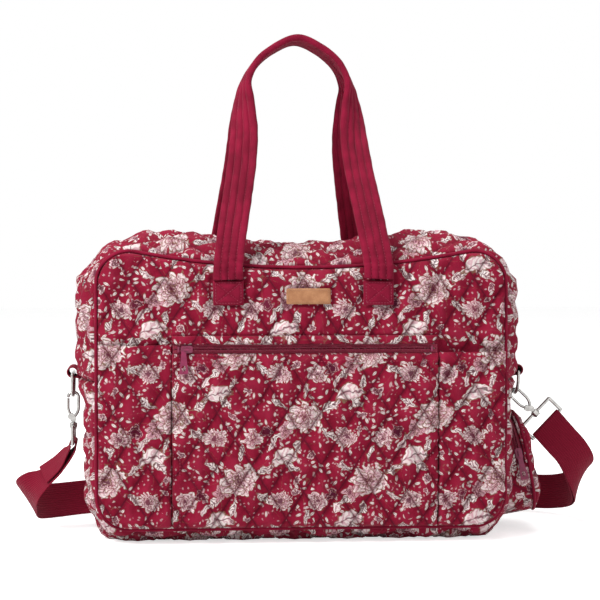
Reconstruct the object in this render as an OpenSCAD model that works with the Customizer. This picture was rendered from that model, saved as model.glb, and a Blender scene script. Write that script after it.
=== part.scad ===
// Quilted weekend bag with padded handles, zip pockets and a clip-on shoulder strap.
// Millimetres, +Z up, front towards -Y, origin on the floor under the middle of the base.

/* [Body] */
// Width of the front and back panels between their side seams
panel_w = 418; // [390:1:450]
// Height of the top seam at the lowest point of its dip
valley_h = 281; // [260:1:310]
// Height of the bottom seam above the floor
seam_low_h = 15; // [12:0.5:18]
// Depth between the front and back seams
body_d = 188; // [170:1:210]
// Radius of the panel corners
corner_r = 33; // [28:1:40]
// Radius of the dip in the top edge
dip_r = 900; // [700:10:1400]
// Height of the side seams that join the top and bottom gussets
side_seam_h = 165; // [150:1:180]
// How far the top gusset bulges past the seams
top_bulge = 18; // [14:0.5:22]
// How far the lower sides bulge past the seams
side_bulge = 9; // [6:0.5:12]
// How far the front and back panels dome outwards
panel_dome = 9; // [6:0.5:14]
// Diameter of the piping in the seams
piping_d = 5.2; // [4:0.1:6]

/* [Quilting] */
// Thickness of the wadded cloth along its stitch lines
cloth_t = 5; // [4:0.1:6]
// Rise of a quilted diamond above its stitch lines, as a share of its mean width and height
puff_share = 0.08; // [0.05:0.005:0.1]
// Width of a quilted diamond
quilt_w = 35; // [28:0.5:45]
// Height of a quilted diamond
quilt_h = 54; // [44:0.5:66]

/* [Front pockets] */
// Left edge of the zip pocket, from the middle of the bag
pocket_left = 133; // [115:1:150]
// Right edge of the zip pocket, from the middle of the bag
pocket_right = 137; // [115:1:150]
// Height of the front zip
front_zip_h = 199; // [185:1:212]
// Height of the band above the front zip
band_h = 9; // [7:0.5:12]
// Height of the mouth of each slip pocket
slip_h = 203; // [180:1:210]

/* [Zips] */
// Half of the gap in the cloth that shows the zip
zip_half = 4.6; // [4.4:0.1:5.5]
// Thickness of the zip tape
tape_t = 0.8; // [0.6:0.1:1]
// Diameter of one coil of teeth
coil_d = 1.9; // [1.6:0.1:2]
// Length of the slider
slider_l = 12; // [10:0.5:14]
// Length of the pull from its pin to its tip
pull_l = 25; // [20:0.5:28]
// Width of the pull at its tip
pull_w = 8.6; // [7:0.1:10]

/* [Handles] */
// Width of a handle
handle_w = 30; // [26:0.5:34]
// Thickness of a handle at its padded channels
handle_t = 7; // [5:0.5:9]
// Distance of each handle leg from the middle of the bag
handle_x = 76; // [66:1:86]
// Height of the top of the handles
handle_top = 524; // [480:1:560]
// Height of the upper edge of the sewn patches
patch_top = 268; // [258:1:272]
// Height of a sewn patch
patch_h = 25; // [20:0.5:30]

/* [Label] */
// Width of the leather label
label_w = 45; // [35:0.5:55]
// Height of the leather label
label_h = 16; // [12:0.5:20]
// Thickness of the leather
label_t = 1.8; // [1.2:0.1:2.5]

/* [Clips] */
// Width of the webbing tabs that hold the rings
tab_w = 36; // [30:0.5:38]
// Thickness of a webbing tab
tab_t = 1.8; // [1.4:0.1:2.2]
// Diameter of the ring wire
ring_d = 3.5; // [3:0.1:4]
// Inside width of a ring
ring_w = 40; // [39:0.5:44]
// Diameter of the hook bar
hook_d = 3.2; // [2.8:0.1:3.6]
// Slant of the right clip away from the bag in degrees
right_slant = 46; // [45:1:52]

/* [Shoulder strap] */
// Width of the webbing
strap_w = 38; // [32:0.5:38]
// Thickness of the webbing
strap_t = 1.8; // [1.4:0.1:2]

/* [Side pocket] */
// Half of the width of the side pocket
pouch_r = 50; // [44:0.5:54]
// Length of the straight sides of the pocket below its arch
pouch_leg = 24; // [16:0.5:28]
// Height of the centre of the arch
pouch_h = 72; // [68:0.5:80]
// Slope of the pocket face in degrees
pouch_tilt = 10; // [8:0.5:12]
// Thickness of the pocket wall
pouch_t = 3; // [2.4:0.1:4]
// How far the pocket face domes outwards
pouch_dome = 4; // [3.5:0.5:5]

/* [Hidden] */
$fn = 48;

cloth_colour = [0.62, 0.12, 0.22];
plain_colour = [0.45, 0.03, 0.12];
coil_colour = [0.4, 0.02, 0.1];
slider_colour = [0.55, 0.08, 0.22];
metal_colour = [0.78, 0.78, 0.8];
leather_colour = [0.66, 0.4, 0.24];

// Clearances between pieces that are sewn together, lie on each other or run in each other
sewn_gap = 0.25;
rest_gap = 0.3;
handle_gap = 1;
run_gap = 0.2;

// Seam outline: straight sides, round corners, a flat bottom and a dip in the top edge
half_w = panel_w / 2;
half_d = body_d / 2;
corner_x = half_w - corner_r;
low_corner_z = seam_low_h + corner_r;
dip_z = valley_h + dip_r;
high_corner_z = dip_z - sqrt(pow(dip_r + corner_r, 2) - pow(corner_x, 2));
dip_angle = asin(corner_x / (dip_r + corner_r));
piping_r = piping_d / 2;
seam_inset = piping_r + sewn_gap;
rim_half = cloth_t / 2;
puff_h = puff_share * (quilt_w + quilt_h) / 2;
gusset_half = half_d - max(seam_inset, rim_half + rest_gap);
bulge_power = 2.5;
base_power = 4;
base_bulge = seam_low_h + 1.5;
low_bulge_z = pouch_h + pouch_r + 14;
high_bulge_z = side_seam_h - 1;

// Zip section: the cloth lips stand lip_h above the middle of the tape
lip_h = 2.7;
zip_gap = 0.8;
tape_edge = zip_half - sewn_gap;
coil_y = zip_gap / 2 + coil_d / 2;
coil_z = tape_t / 2 + coil_d / 2 + 0.05;
coil_top = coil_z + coil_d / 2;
slider_half = zip_half - 0.9;
plate_t = 1;
under_z = -tape_t / 2 - 0.6;
over_z = coil_top + run_gap + 0.1;
pin_x = 3;
pin_r = 1;
bridge_z = over_z + plate_t + 2;
pull_t = 1.2;
pull_z = over_z + plate_t + run_gap;
pull_tilt = 9;
stop_l = 2;

front_zip_l = pocket_left + pocket_right - 12;
front_zip_x = (pocket_right - pocket_left) / 2;
under_gap = plate_t - under_z + rest_gap + 0.2;
front_zip_y = front_y(0, front_zip_h) - under_gap;
top_zip_r = dip_r - top_bulge + lip_h;
top_zip_end = dip_angle - 0.7;
top_slider_angle = top_zip_end - 0.9;
side_zip_r = pouch_r - lip_h;
side_zip_x = pouch_t + zip_half;
pouch_depth = 2 * (pouch_t + zip_half);
side_slider_angle = 12;

// Ring, hook and strap loop, with the hook's own origin where its stem leaves the eye
tab_x = half_w + top_bulge + rest_gap;
loop_r = 6.2;
loop_x = 9;
loop_z = 5;
ring_x = tab_x + loop_x;
ring_z = side_seam_h + loop_z - loop_r + tab_t + ring_d / 2 + rest_gap;
ring_arc_r = ring_w / 2 + ring_d / 2;
ring_leg = 2;
ring_low_z = ring_z - ring_leg - ring_arc_r;
eye_r = 5.5;
eye_z = 26;
eye_side_z = 16;
eye_side_r = 14;
eye_side_x = eye_side_r - eye_r;
hang_z = eye_z + eye_r - hook_d / 2 - rest_gap - ring_d / 2;
gate_x = -2.4;
gate_z = 6;
gate_tip_z = eye_z - 0.8;
gate_t = 3.4;
gate_eye_r = 2.5;
gate_pin_r = 1;
stem_r = 2.2;
collar_r = 4.2;
collar_h = 5;
collar_z = -3.3;
loop_w = strap_w + 2;
loop_bar_d = 3.5;
loop_drop = 18;
loop_bar_z = collar_z - loop_drop;

left_bar = [-ring_x, 0, ring_low_z - hang_z + loop_bar_z];
right_reach = hang_z - loop_bar_z;
right_bar = [ring_x + right_reach * sin(right_slant), 0,
    ring_low_z - right_reach * cos(right_slant)];

// Strap route, as points chosen by hand from the bar of each strap loop.
// Each entry is a point followed by the direction of the webbing's width.
wrap = loop_bar_d / 2 + rest_gap + strap_t / 2;
run_y = 126;
run_z = strap_w / 2 + 4;
left_route = [
    [-32, -2, -34.5, -0.35, 0.9, 0.25], [-18, -2, -22.5, -0.25, 0.95, 0.2],
    [-8, -1, -9, -0.1, 1, 0.1], [-4, 0, -3.6, 0, 1, 0], [-wrap, 0, 0, 0, 1, 0],
    [-wrap * 0.7, 0, wrap * 0.7, 0, 1, 0],
    [0, 0, wrap, 0, 1, 0], [wrap * 0.7, 0, wrap * 0.7, 0, 1, 0], [wrap, 0, 0, 0, 1, 0],
    [0, -0.5, -9, -0.05, 1, 0.05], [-16, -2, -25.5, -0.25, 0.95, 0.2],
    [-30, -2, -38, -0.35, 0.9, 0.25], [-43, 4, -49, -0.5, 0.75, 0.45],
    [-51, 20, -58, -0.6, 0.4, 0.7], [-50, 44, -68, -0.5, 0.05, 0.85],
    [-40, 70, -73, -0.3, -0.1, 0.95], [-22, 94, -75, -0.12, -0.05, 1],
    [4, 114, -75, 0, 0, 1], [40, 124, -73.5, 0, 0, 1]];
right_route = [
    [-50, 124, -85, 0, 0, 1], [-10, 115, -86.5, 0, 0, 1], [18, 98, -86.5, 0, 0, 1],
    [36, 74, -82, 0.1, 0, 1], [44, 48, -73, 0.25, -0.1, 0.95], [43, 24, -60, 0.4, -0.25, 0.9],
    [37, 8, -45, 0.55, -0.2, 0.8], [27, 0, -30, 0.68, -0.1, 0.72],
    [16, -3, -18, 0.7, 0, 0.71], [7, -3.6, -8, 0.7, 0, 0.72]];
layer_gap = 3;
adjuster_x = 90;
bar_r = 1.5;

// Outline rows as [x, z, normal x, normal z], clockwise seen from the front
function arc_rows(cx, cz, r, from, to, n) =
    [for (i = [0 : n]) let (a = from + (to - from) * i / n)
        [cx + r * cos(a), cz + r * sin(a), cos(a), sin(a)]];
function side_rows(s, from, to, n) =
    [for (i = [0 : n - 1]) [s * half_w, from + (to - from) * i / n, s, 0]];
function steps(length, size) = 2 * max(1, round(length / size));
side_steps_high = steps(high_corner_z - side_seam_h, quilt_h);
side_steps_low = steps(side_seam_h - low_corner_z, quilt_h);
dip_steps = steps(2 * dip_angle * PI / 180 * dip_r, quilt_h);
base_steps = steps(2 * corner_x, quilt_h);
corner_steps = 4;
top_rows = concat(
    side_rows(-1, side_seam_h + sewn_gap, high_corner_z, side_steps_high),
    arc_rows(-corner_x, high_corner_z, corner_r, 180, 90 - dip_angle, corner_steps),
    [for (i = [1 : dip_steps - 1]) let (a = dip_angle * (2 * i / dip_steps - 1))
        [dip_r * sin(a), dip_z - dip_r * cos(a), -sin(a), cos(a)]],
    arc_rows(corner_x, high_corner_z, corner_r, 90 + dip_angle, 0, corner_steps),
    [for (i = [1 : side_steps_high]) [half_w, high_corner_z
        + (side_seam_h + sewn_gap - high_corner_z) * i / side_steps_high, 1, 0]]);
base_rows = concat(
    side_rows(1, side_seam_h - sewn_gap, low_corner_z, side_steps_low),
    arc_rows(corner_x, low_corner_z, corner_r, 0, -90, corner_steps),
    [for (i = [1 : base_steps - 1])
        [corner_x * (1 - 2 * i / base_steps), seam_low_h, 0, -1]],
    arc_rows(-corner_x, low_corner_z, corner_r, -90, -180, corner_steps),
    [for (i = [1 : side_steps_low]) [-half_w, low_corner_z
        + (side_seam_h - sewn_gap - low_corner_z) * i / side_steps_low, -1, 0]]);

// A diamond peaks where the grid steps i and j sum to an odd number, and even sums are stitched
function puff(i, j) = (i + j) % 2;

// Dome of the panels and the seam line across them
function bow(u) = max(0, 1 - pow(abs(u), 4));
function dome(x, z) = let (low = panel_low(x, 0), high = panel_top(x, 0))
    panel_dome * bow(x / half_w) * bow((2 * z - low - high) / (high - low));
function front_y(x, z) = -(half_d + rim_half + dome(x, z));
function panel_top(x, inset) = abs(x) > corner_x - (corner_r - inset) * sin(dip_angle)
    ? high_corner_z + sqrt(max(0, pow(corner_r - inset, 2) - pow(abs(x) - corner_x, 2)))
    : dip_z - sqrt(pow(dip_r + inset, 2) - x * x);
function panel_low(x, inset) = abs(x) > corner_x
    ? low_corner_z - sqrt(max(0, pow(corner_r - inset, 2) - pow(abs(x) - corner_x, 2)))
    : seam_low_h + inset;
function corner_cols(s, inset) =
    [for (a = [0, 28, 58]) s * (corner_x + (corner_r - inset) * cos(a))];
function middle_cols(from, to) = let (n = steps(abs(to - from), quilt_w))
    [for (i = [0 : n]) from + (to - from) * i / n];
function reversed(list) = [for (i = [len(list) - 1 : -1 : 0]) list[i]];

// A wadded cloth panel over columns xs, from lows to highs, facing -Y and lying on the dome.
// Its diamonds rise by lift, and below split it has plain rows that other cloth covers.
module cloth_panel(xs, lows, highs, base, thick, lift = puff_h, split = 0) {
    nx = len(xs) - 1;
    plain = split > 0 ? steps(split - min(lows), quilt_h) : 0;
    rows = plain + steps(max(highs) - max(split, min(lows)), quilt_h);
    function row_z(i, j) = j < plain ? lows[i] + (split - lows[i]) * j / plain
        : max(split, lows[i]) + (highs[i] - max(split, lows[i])) * (j - plain) / (rows - plain);
    function edge(i, j) = i == 0 || i == nx || j <= plain || j == rows;
    outer = [for (i = [0 : nx], j = [0 : rows]) let (z = row_z(i, j))
        [xs[i], front_y(xs[i], z) - base - (edge(i, j) ? 0 : lift * puff(i, j)), z]];
    inner = [for (i = [0 : nx], j = [0 : rows]) let (z = row_z(i, j))
        [xs[i], front_y(xs[i], z) - base + thick, z]];
    g = len(outer);
    function at(i, j) = i * (rows + 1) + j;
    loop = concat([for (i = [0 : nx - 1]) at(i, 0)], [for (j = [0 : rows - 1]) at(nx, j)],
        [for (i = [nx : -1 : 1]) at(i, rows)], [for (j = [rows : -1 : 1]) at(0, j)]);
    front = [for (i = [0 : nx - 1], j = [0 : rows - 1]) each (i + j) % 2 == 0
        ? [[at(i, j), at(i, j + 1), at(i + 1, j + 1)], [at(i, j), at(i + 1, j + 1), at(i + 1, j)]]
        : [[at(i, j), at(i, j + 1), at(i + 1, j)], [at(i + 1, j), at(i, j + 1), at(i + 1, j + 1)]]];
    rim = [for (k = [0 : len(loop) - 1]) let (a = loop[k], b = loop[(k + 1) % len(loop)])
        each [[a, b, g + b], [a, g + b, g + a]]];
    polyhedron(concat(outer, inner), concat(front, rim, [for (f = front) [g + f[2], g + f[1], g + f[0]]]));
}

// A wadded band along outline rows, from depth near to depth far, bulging between the seams
function smooth_step(u) = let (t = min(1, max(0, u))) t * t * (3 - 2 * t);
function row_bulge(row) = row[3] < -0.95 ? base_bulge : row[3] > 0.01 ? top_bulge
    : side_bulge + (top_bulge - side_bulge)
        * smooth_step((row[1] - low_bulge_z) / (high_bulge_z - low_bulge_z));
function row_power(row) = row[3] < -0.95 ? base_power : bulge_power;
function bulge(row, y) = row_bulge(row) * (1 - pow(abs(y) / gusset_half, row_power(row)));
function under_pouch(row, y) = row[0] > 0 && row[3] > -0.95 && abs(y) < pouch_r + quilt_w / 2
    && row[1] < pouch_h + pouch_r + quilt_h / 2;
module cloth_band(rows, near, far) {
    n = len(rows) - 1;
    m = steps(far - near, quilt_w);
    function on_row(row, y, lift) = let (b = bulge(row, y) + lift)
        [row[0] + row[2] * b, y, max(0, row[1] + row[3] * b)];
    outer = [for (k = [0 : n], c = [0 : m])
        let (y = near + (far - near) * c / m,
            edge = k == 0 || k == n || c == 0 || c == m || rows[k][3] < -0.95
                || under_pouch(rows[k], y))
        on_row(rows[k], y, edge ? 0 : puff_h * puff(k, c))];
    inner = [for (k = [0 : n], c = [0 : 2])
        on_row(rows[k], near + (far - near) * c / 2, -cloth_t)];
    function at(k, c) = k * (m + 1) + c;
    function back(k, c) = len(outer) + k * 3 + c;
    faces = concat(
        [for (k = [0 : n - 1], c = [0 : m - 1]) each (k + c) % 2 == 0
            ? [[at(k, c), at(k + 1, c + 1), at(k + 1, c)],
                [at(k, c), at(k, c + 1), at(k + 1, c + 1)]]
            : [[at(k, c), at(k, c + 1), at(k + 1, c)],
                [at(k + 1, c), at(k, c + 1), at(k + 1, c + 1)]]],
        [for (k = [0 : n - 1], c = [0 : 1]) each [
            [back(k, c), back(k + 1, c), back(k + 1, c + 1)],
            [back(k, c), back(k + 1, c + 1), back(k, c + 1)]]],
        [for (k = [0 : n - 1]) each [
            [at(k, 0), at(k + 1, 0), back(k + 1, 0)], [at(k, 0), back(k + 1, 0), back(k, 0)],
            [at(k + 1, m), at(k, m), back(k, 2)], [at(k + 1, m), back(k, 2), back(k + 1, 2)]]],
        [[for (c = [m : -1 : 0]) at(0, c), back(0, 0), back(0, 1), back(0, 2)],
            [for (c = [0 : m]) at(n, c), back(n, 2), back(n, 1), back(n, 0)]]);
    polyhedron(concat(outer, inner), faces);
}

// A section swept along a route of points and width directions
function unit(v) = v / norm(v);
function between(a, b, c, d, t) = 0.5 * (2 * b + (c - a) * t
    + (2 * a - 5 * b + 4 * c - d) * t * t + (3 * b - a - 3 * c + d) * t * t * t);
function smooth_route(r, n) = let (last = len(r) - 1) concat(
    [for (i = [0 : last - 1], k = [0 : n - 1])
        between(r[max(0, i - 1)], r[i], r[i + 1], r[min(last, i + 2)], k / n)], [r[last]]);
function place(v) = [v[0], v[1], v[2]];
function width_dir(v) = [v[3], v[4], v[5]];
module sweep_section(route, section) {
    last = len(route) - 1;
    m = len(section);
    points = [for (i = [0 : last])
        let (t = unit(place(route[min(last, i + 1)]) - place(route[max(0, i - 1)])),
            w = unit(width_dir(route[i]) - (width_dir(route[i]) * t) * t), n = cross(t, w))
        each [for (s = section) place(route[i]) + w * s[0] + n * s[1]]];
    function at(i, k) = i * m + k % m;
    polyhedron(points, concat(
        [for (i = [0 : last - 1], k = [0 : m - 1]) each k < m / 2
            ? [[at(i, k), at(i + 1, k), at(i + 1, k + 1)], [at(i, k), at(i + 1, k + 1), at(i, k + 1)]]
            : [[at(i, k), at(i + 1, k), at(i, k + 1)], [at(i, k + 1), at(i + 1, k), at(i + 1, k + 1)]]],
        [[for (k = [0 : m - 1]) at(0, k)], [for (k = [m - 1 : -1 : 0]) at(last, k)]]));
}
function flat_section(w, t) = [[-w, -t], [w, -t], [w, t], [-w, t]] / 2;

// Panels, gussets and piping
panel_cols = concat(corner_cols(-1, seam_inset), middle_cols(-corner_x, corner_x),
    reversed(corner_cols(1, seam_inset)));
pocket_top = front_zip_h + zip_half + band_h + 1;
// The pocket cloth stands clear of the panel, and its lips stand over the zip tape
pocket_base = under_gap + lip_h;
pocket_t = pocket_base - 0.6;
module front_panel() {
    color(cloth_colour) cloth_panel(panel_cols, [for (x = panel_cols) panel_low(x, seam_inset)],
        [for (x = panel_cols) panel_top(x, seam_inset)], 0, cloth_t, puff_h, pocket_top);
}
module back_panel() {
    color(cloth_colour) mirror([0, 1, 0])
        cloth_panel(panel_cols, [for (x = panel_cols) panel_low(x, seam_inset)],
            [for (x = panel_cols) panel_top(x, seam_inset)], 0, cloth_t);
}
module top_gusset_front() { color(cloth_colour) cloth_band(top_rows, -gusset_half, -zip_half); }
module top_gusset_back() { color(cloth_colour) cloth_band(top_rows, zip_half, gusset_half); }
module bottom_gusset() { color(cloth_colour) cloth_band(base_rows, -gusset_half, gusset_half); }

// A round bar of radius r bent in the XZ plane round the origin
module bent_bar(path_r, r, from, to) {
    rotate([90, 0, 0]) rotate([0, 0, from]) rotate_extrude(angle = to - from)
        translate([path_r, 0]) circle(r);
}
module piping() {
    for (s = [0, 1]) mirror([s, 0, 0]) {
        translate([half_w, 0, low_corner_z]) cylinder(h = high_corner_z - low_corner_z, r = piping_r);
        translate([corner_x, 0, high_corner_z])
            bent_bar(corner_r, piping_r, 0, 90 + dip_angle);
        translate([corner_x, 0, low_corner_z]) bent_bar(corner_r, piping_r, -90, 0);
    }
    translate([-corner_x, 0, seam_low_h]) rotate([0, 90, 0]) cylinder(h = 2 * corner_x, r = piping_r);
    translate([0, 0, dip_z]) bent_bar(dip_r, piping_r, 270 - dip_angle, 270 + dip_angle);
}
module front_piping() { color(plain_colour) translate([0, -half_d, 0]) piping(); }
module back_piping() { color(plain_colour) translate([0, half_d, 0]) piping(); }

// Front pockets
module front_pocket() {
    xs = middle_cols(-pocket_left, pocket_right);
    color(cloth_colour) cloth_panel(xs, [for (x = xs) seam_low_h + seam_inset],
        [for (x = xs) front_zip_h - zip_half], pocket_base, pocket_t);
}
module pocket_band() {
    xs = middle_cols(-pocket_left, pocket_right);
    color(cloth_colour) cloth_panel(xs, [for (x = xs) front_zip_h + zip_half],
        [for (x = xs) front_zip_h + zip_half + band_h], pocket_base, pocket_t, 0);
}
module slip_pocket(xs) {
    cloth_panel(xs, [for (x = xs) panel_low(x, seam_inset)], [for (x = xs) slip_h],
        pocket_base, pocket_t);
}
module left_slip_pocket() {
    color(cloth_colour) slip_pocket(concat(corner_cols(-1, seam_inset),
        middle_cols(-corner_x, -pocket_left - 2 * sewn_gap)));
}
module right_slip_pocket() {
    color(cloth_colour) slip_pocket(concat(middle_cols(pocket_right + 2 * sewn_gap, corner_x),
        reversed(corner_cols(1, seam_inset))));
}

// Zips run along their own X, with the tape across Y and the outside towards +Z
module straight_tapes(length) {
    for (s = [-1, 1]) translate([-length / 2, s > 0 ? zip_gap / 2 : -tape_edge, -tape_t / 2])
        cube([length, tape_edge - zip_gap / 2, tape_t]);
}
module straight_coils(length) {
    for (s = [-1, 1]) translate([-length / 2, s * coil_y, coil_z]) rotate([0, 90, 0])
        cylinder(h = length, d = coil_d);
}
module zip_stop() {
    translate([-stop_l / 2, -2 * coil_y, tape_t / 2 + 0.05]) cube([stop_l, 4 * coil_y, coil_d]);
}
// Tape and coil sections for a curved zip, as [height above the tape, across]
module tape_section() {
    for (s = [-1, 1]) translate([-tape_t / 2, s > 0 ? zip_gap / 2 : -tape_edge])
        square([tape_t, tape_edge - zip_gap / 2]);
}
module coil_section() {
    for (s = [-1, 1]) translate([coil_z, s * coil_y]) circle(d = coil_d);
}
module slider_plate(length) {
    hull_r = 2.4;
    linear_extrude(plate_t) union() {
        translate([-length / 2 + hull_r, -slider_half]) square([length - 2 * hull_r, 2 * slider_half]);
        translate([-length / 2, -slider_half + hull_r]) square([length, 2 * (slider_half - hull_r)]);
        for (x = [-1, 1], y = [-1, 1])
            translate([x * (length / 2 - hull_r), y * (slider_half - hull_r)]) circle(hull_r);
    }
}
// Slider: two plates joined by a neck between the coils, side walls and a bridge on two legs
module slider() {
    neck_half = zip_gap / 2 - 0.12;
    wall_t = 0.6;
    wall_z = tape_t / 2 + run_gap + 0.1;
    translate([0, 0, over_z]) slider_plate(slider_l);
    translate([0, 0, under_z - plate_t]) slider_plate(slider_l - 2);
    translate([slider_l / 2 - 4, -neck_half, under_z - plate_t])
        cube([2.6, 2 * neck_half, over_z - under_z + 2 * plate_t]);
    for (s = [-1, 1]) translate([-slider_l / 2 + 2.4, s > 0 ? slider_half - wall_t : -slider_half, wall_z])
        cube([slider_l - 4.8, wall_t, over_z - wall_z + plate_t / 2]);
    for (s = [-1, 1]) translate([s * pin_x, 0, over_z]) cylinder(h = bridge_z - over_z + plate_t, r = pin_r);
    translate([-pin_x, -pin_r, bridge_z]) cube([2 * pin_x, 2 * pin_r, plate_t]);
}
// Pull: a flat head round the bridge leg and a tapered arm with an oval hole near its tip
module pull() {
    head_r = 2.6;
    root_w = 4.4;
    tip_r = 1.6;
    hole_r = 2.1;
    difference() {
        union() {
            cylinder(h = pull_t, r = head_r);
            rotate([-pull_tilt, 0, 0]) linear_extrude(pull_t) {
                polygon([[-root_w / 2, -1], [-pull_w / 2, -pull_l + tip_r],
                    [pull_w / 2, -pull_l + tip_r], [root_w / 2, -1]]);
                translate([-pull_w / 2 + tip_r, -pull_l]) square([pull_w - 2 * tip_r, 2 * tip_r]);
                for (s = [-1, 1]) translate([s * (pull_w / 2 - tip_r), -pull_l + tip_r]) circle(tip_r);
            }
        }
        translate([0, 0, -1]) cylinder(h = pull_t + 2, r = pin_r + run_gap);
        rotate([-pull_tilt, 0, 0]) for (y = [5, 6.5]) translate([0, -pull_l + y, -1])
            cylinder(h = pull_t + 2, r = hole_r);
    }
}

module on_front_zip() {
    translate([front_zip_x, front_zip_y, front_zip_h]) rotate([90, 0, 0]) children();
}
front_slider_x = -front_zip_l / 2 + stop_l + slider_l / 2 + 1;
module front_zip_tapes() { color(coil_colour) on_front_zip() straight_tapes(front_zip_l + 10); }
module front_zip_coils() { color(coil_colour) on_front_zip() straight_coils(front_zip_l - 2 * stop_l); }
module front_zip_stops() {
    color(slider_colour) on_front_zip() for (s = [-1, 1])
        translate([s * (front_zip_l / 2 - stop_l / 2 + sewn_gap), 0, 0]) zip_stop();
}
module front_zip_slider() { color(slider_colour) on_front_zip() translate([front_slider_x, 0, 0]) slider(); }
module front_zip_pull() {
    color(slider_colour) on_front_zip() translate([front_slider_x - pin_x, 0, pull_z]) pull();
}

module on_top_zip(angle) {
    translate([0, 0, dip_z]) rotate([0, -angle, 0]) translate([0, 0, -top_zip_r]) children();
}
module top_zip_arc(half_angle) {
    translate([0, 0, dip_z]) rotate([90, 0, 0]) rotate([0, 0, 270 - half_angle])
        rotate_extrude(angle = 2 * half_angle, $fn = 360) translate([top_zip_r, 0]) mirror([1, 0]) children();
}
stop_angle = stop_l / top_zip_r * 180 / PI;
module top_zip_tapes() { color(coil_colour) top_zip_arc(top_zip_end) tape_section(); }
module top_zip_coils() { color(coil_colour) top_zip_arc(top_zip_end - 2 * stop_angle) coil_section(); }
module top_zip_stops() {
    color(slider_colour) for (s = [-1, 1]) on_top_zip(s * (top_zip_end - stop_angle)) zip_stop();
}
module top_zip_slider() { color(slider_colour) on_top_zip(top_slider_angle) slider(); }
module top_zip_pull() {
    color(slider_colour) on_top_zip(top_slider_angle) translate([-pin_x, 0, pull_z]) pull();
}
// Cloth strips that close the gusset past each end of the top zip
module zip_end_tabs() {
    outer_r = corner_r + top_bulge;
    strip_t = cloth_t - 1;
    color(plain_colour) for (s = [0, 1]) mirror([s, 0, 0]) {
        translate([corner_x, 0, high_corner_z]) rotate([90, 0, 0])
            rotate_extrude(angle = 90 + dip_angle) translate([outer_r - strip_t, -tape_edge])
                square([strip_t, 2 * tape_edge]);
        translate([corner_x + outer_r - strip_t, -tape_edge, side_seam_h + sewn_gap])
            cube([strip_t, 2 * tape_edge, high_corner_z - side_seam_h - sewn_gap]);
    }
}

// Handles: padded straps with four channels that turn on edge where they cross the top
handle_y = -front_y(handle_x, patch_top) + puff_h + rest_gap + handle_t / 2;
handle_mid_y = handle_w / 2 + 1;
// Rise, share of the leg spacing, share of the depth and turn of the strap along one leg
handle_leg = [[0, 1, 1, 0], [0.06, 1, 1, 0], [0.17, 0.95, 0.88, 0], [0.3, 0.88, 0.7, 0],
    [0.45, 0.8, 0.48, 5], [0.58, 0.755, 0.31, 20], [0.7, 0.745, 0.17, 48], [0.81, 0.72, 0.07, 78],
    [0.9, 0.56, 0.02, 90], [0.965, 0.3, 0, 90], [1, 0, 0, 90]];
function handle_point(p, s) = [s * handle_x * p[1],
    -handle_mid_y - (handle_y - handle_mid_y) * p[2],
    patch_top + handle_gap + (handle_top - handle_t / 2 - patch_top - handle_gap) * p[0],
    -s * cos(p[3]), -sin(p[3]), 0];
handle_route = concat([for (p = handle_leg) handle_point(p, -1)],
    [for (i = [len(handle_leg) - 2 : -1 : 0]) handle_point(handle_leg[i], 1)]);
// Channels puff between the stitch lines
handle_section = let (n = 8, thin = 0.5)
    concat([for (i = [0 : n]) [handle_w * (i / n - 0.5), -handle_t / 2 * (i % 2 == 0 ? thin : 1)]],
        [for (i = [n : -1 : 0]) [handle_w * (i / n - 0.5), handle_t / 2 * (i % 2 == 0 ? thin : 1)]]);
module handle() { sweep_section(smooth_route(handle_route, 2), handle_section); }
module front_handle() { color(plain_colour) handle(); }
module back_handle() { color(plain_colour) mirror([0, 1, 0]) handle(); }
module handle_patches() {
    patch_w = handle_w + 1;
    patch_t = 5;
    for (s = [-1, 1]) {
        xs = middle_cols(s * handle_x - patch_w / 2, s * handle_x + patch_w / 2);
        cloth_panel(xs, [for (x = xs) patch_top - patch_h], [for (x = xs) patch_top],
            puff_h + rest_gap + patch_t, patch_t, 0);
    }
}
module front_handle_patches() { color(plain_colour) handle_patches(); }
module back_handle_patches() { color(plain_colour) mirror([0, 1, 0]) handle_patches(); }
label_x = 5;
label_z = 252;
module leather_label() {
    xs = middle_cols(label_x - label_w / 2, label_x + label_w / 2);
    color(leather_colour) cloth_panel(xs, [for (x = xs) label_z - label_h / 2],
        [for (x = xs) label_z + label_h / 2], puff_h + rest_gap + label_t, label_t, 0);
}

// Webbing tabs, rings and swivel hooks
module tab() {
    inner_r = loop_r - tab_t;
    translate([tab_x, 0, side_seam_h]) rotate([90, 0, 0]) linear_extrude(tab_w, center = true)
        difference() {
            hull() {
                translate([0, -tab_t]) square([0.5, 2 * tab_t]);
                translate([loop_x, loop_z]) circle(loop_r, $fn = 32);
            }
            hull() {
                translate([loop_x, loop_z]) circle(inner_r, $fn = 32);
                translate([loop_x / 2, loop_z / 3]) circle(tab_t / 3, $fn = 32);
            }
        }
}
module left_tab() { color(plain_colour) mirror([1, 0, 0]) tab(); }
module right_tab() { color(plain_colour) tab(); }

module ring() {
    r = ring_d / 2;
    translate([ring_x, 0, ring_z]) rotate([0, 0, 90]) {
        rotate([0, 90, 0]) cylinder(h = 2 * ring_arc_r, r = r, center = true);
        translate([0, 0, -ring_leg]) bent_bar(ring_arc_r, r, 180, 360);
        for (s = [-1, 1]) {
            translate([s * ring_arc_r, 0, -ring_leg]) cylinder(h = ring_leg, r = r);
            translate([s * ring_arc_r, 0, 0]) sphere(r);
        }
    }
}
module left_ring() { color(metal_colour) mirror([1, 0, 0]) ring(); }
module right_ring() { color(metal_colour) ring(); }

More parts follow.
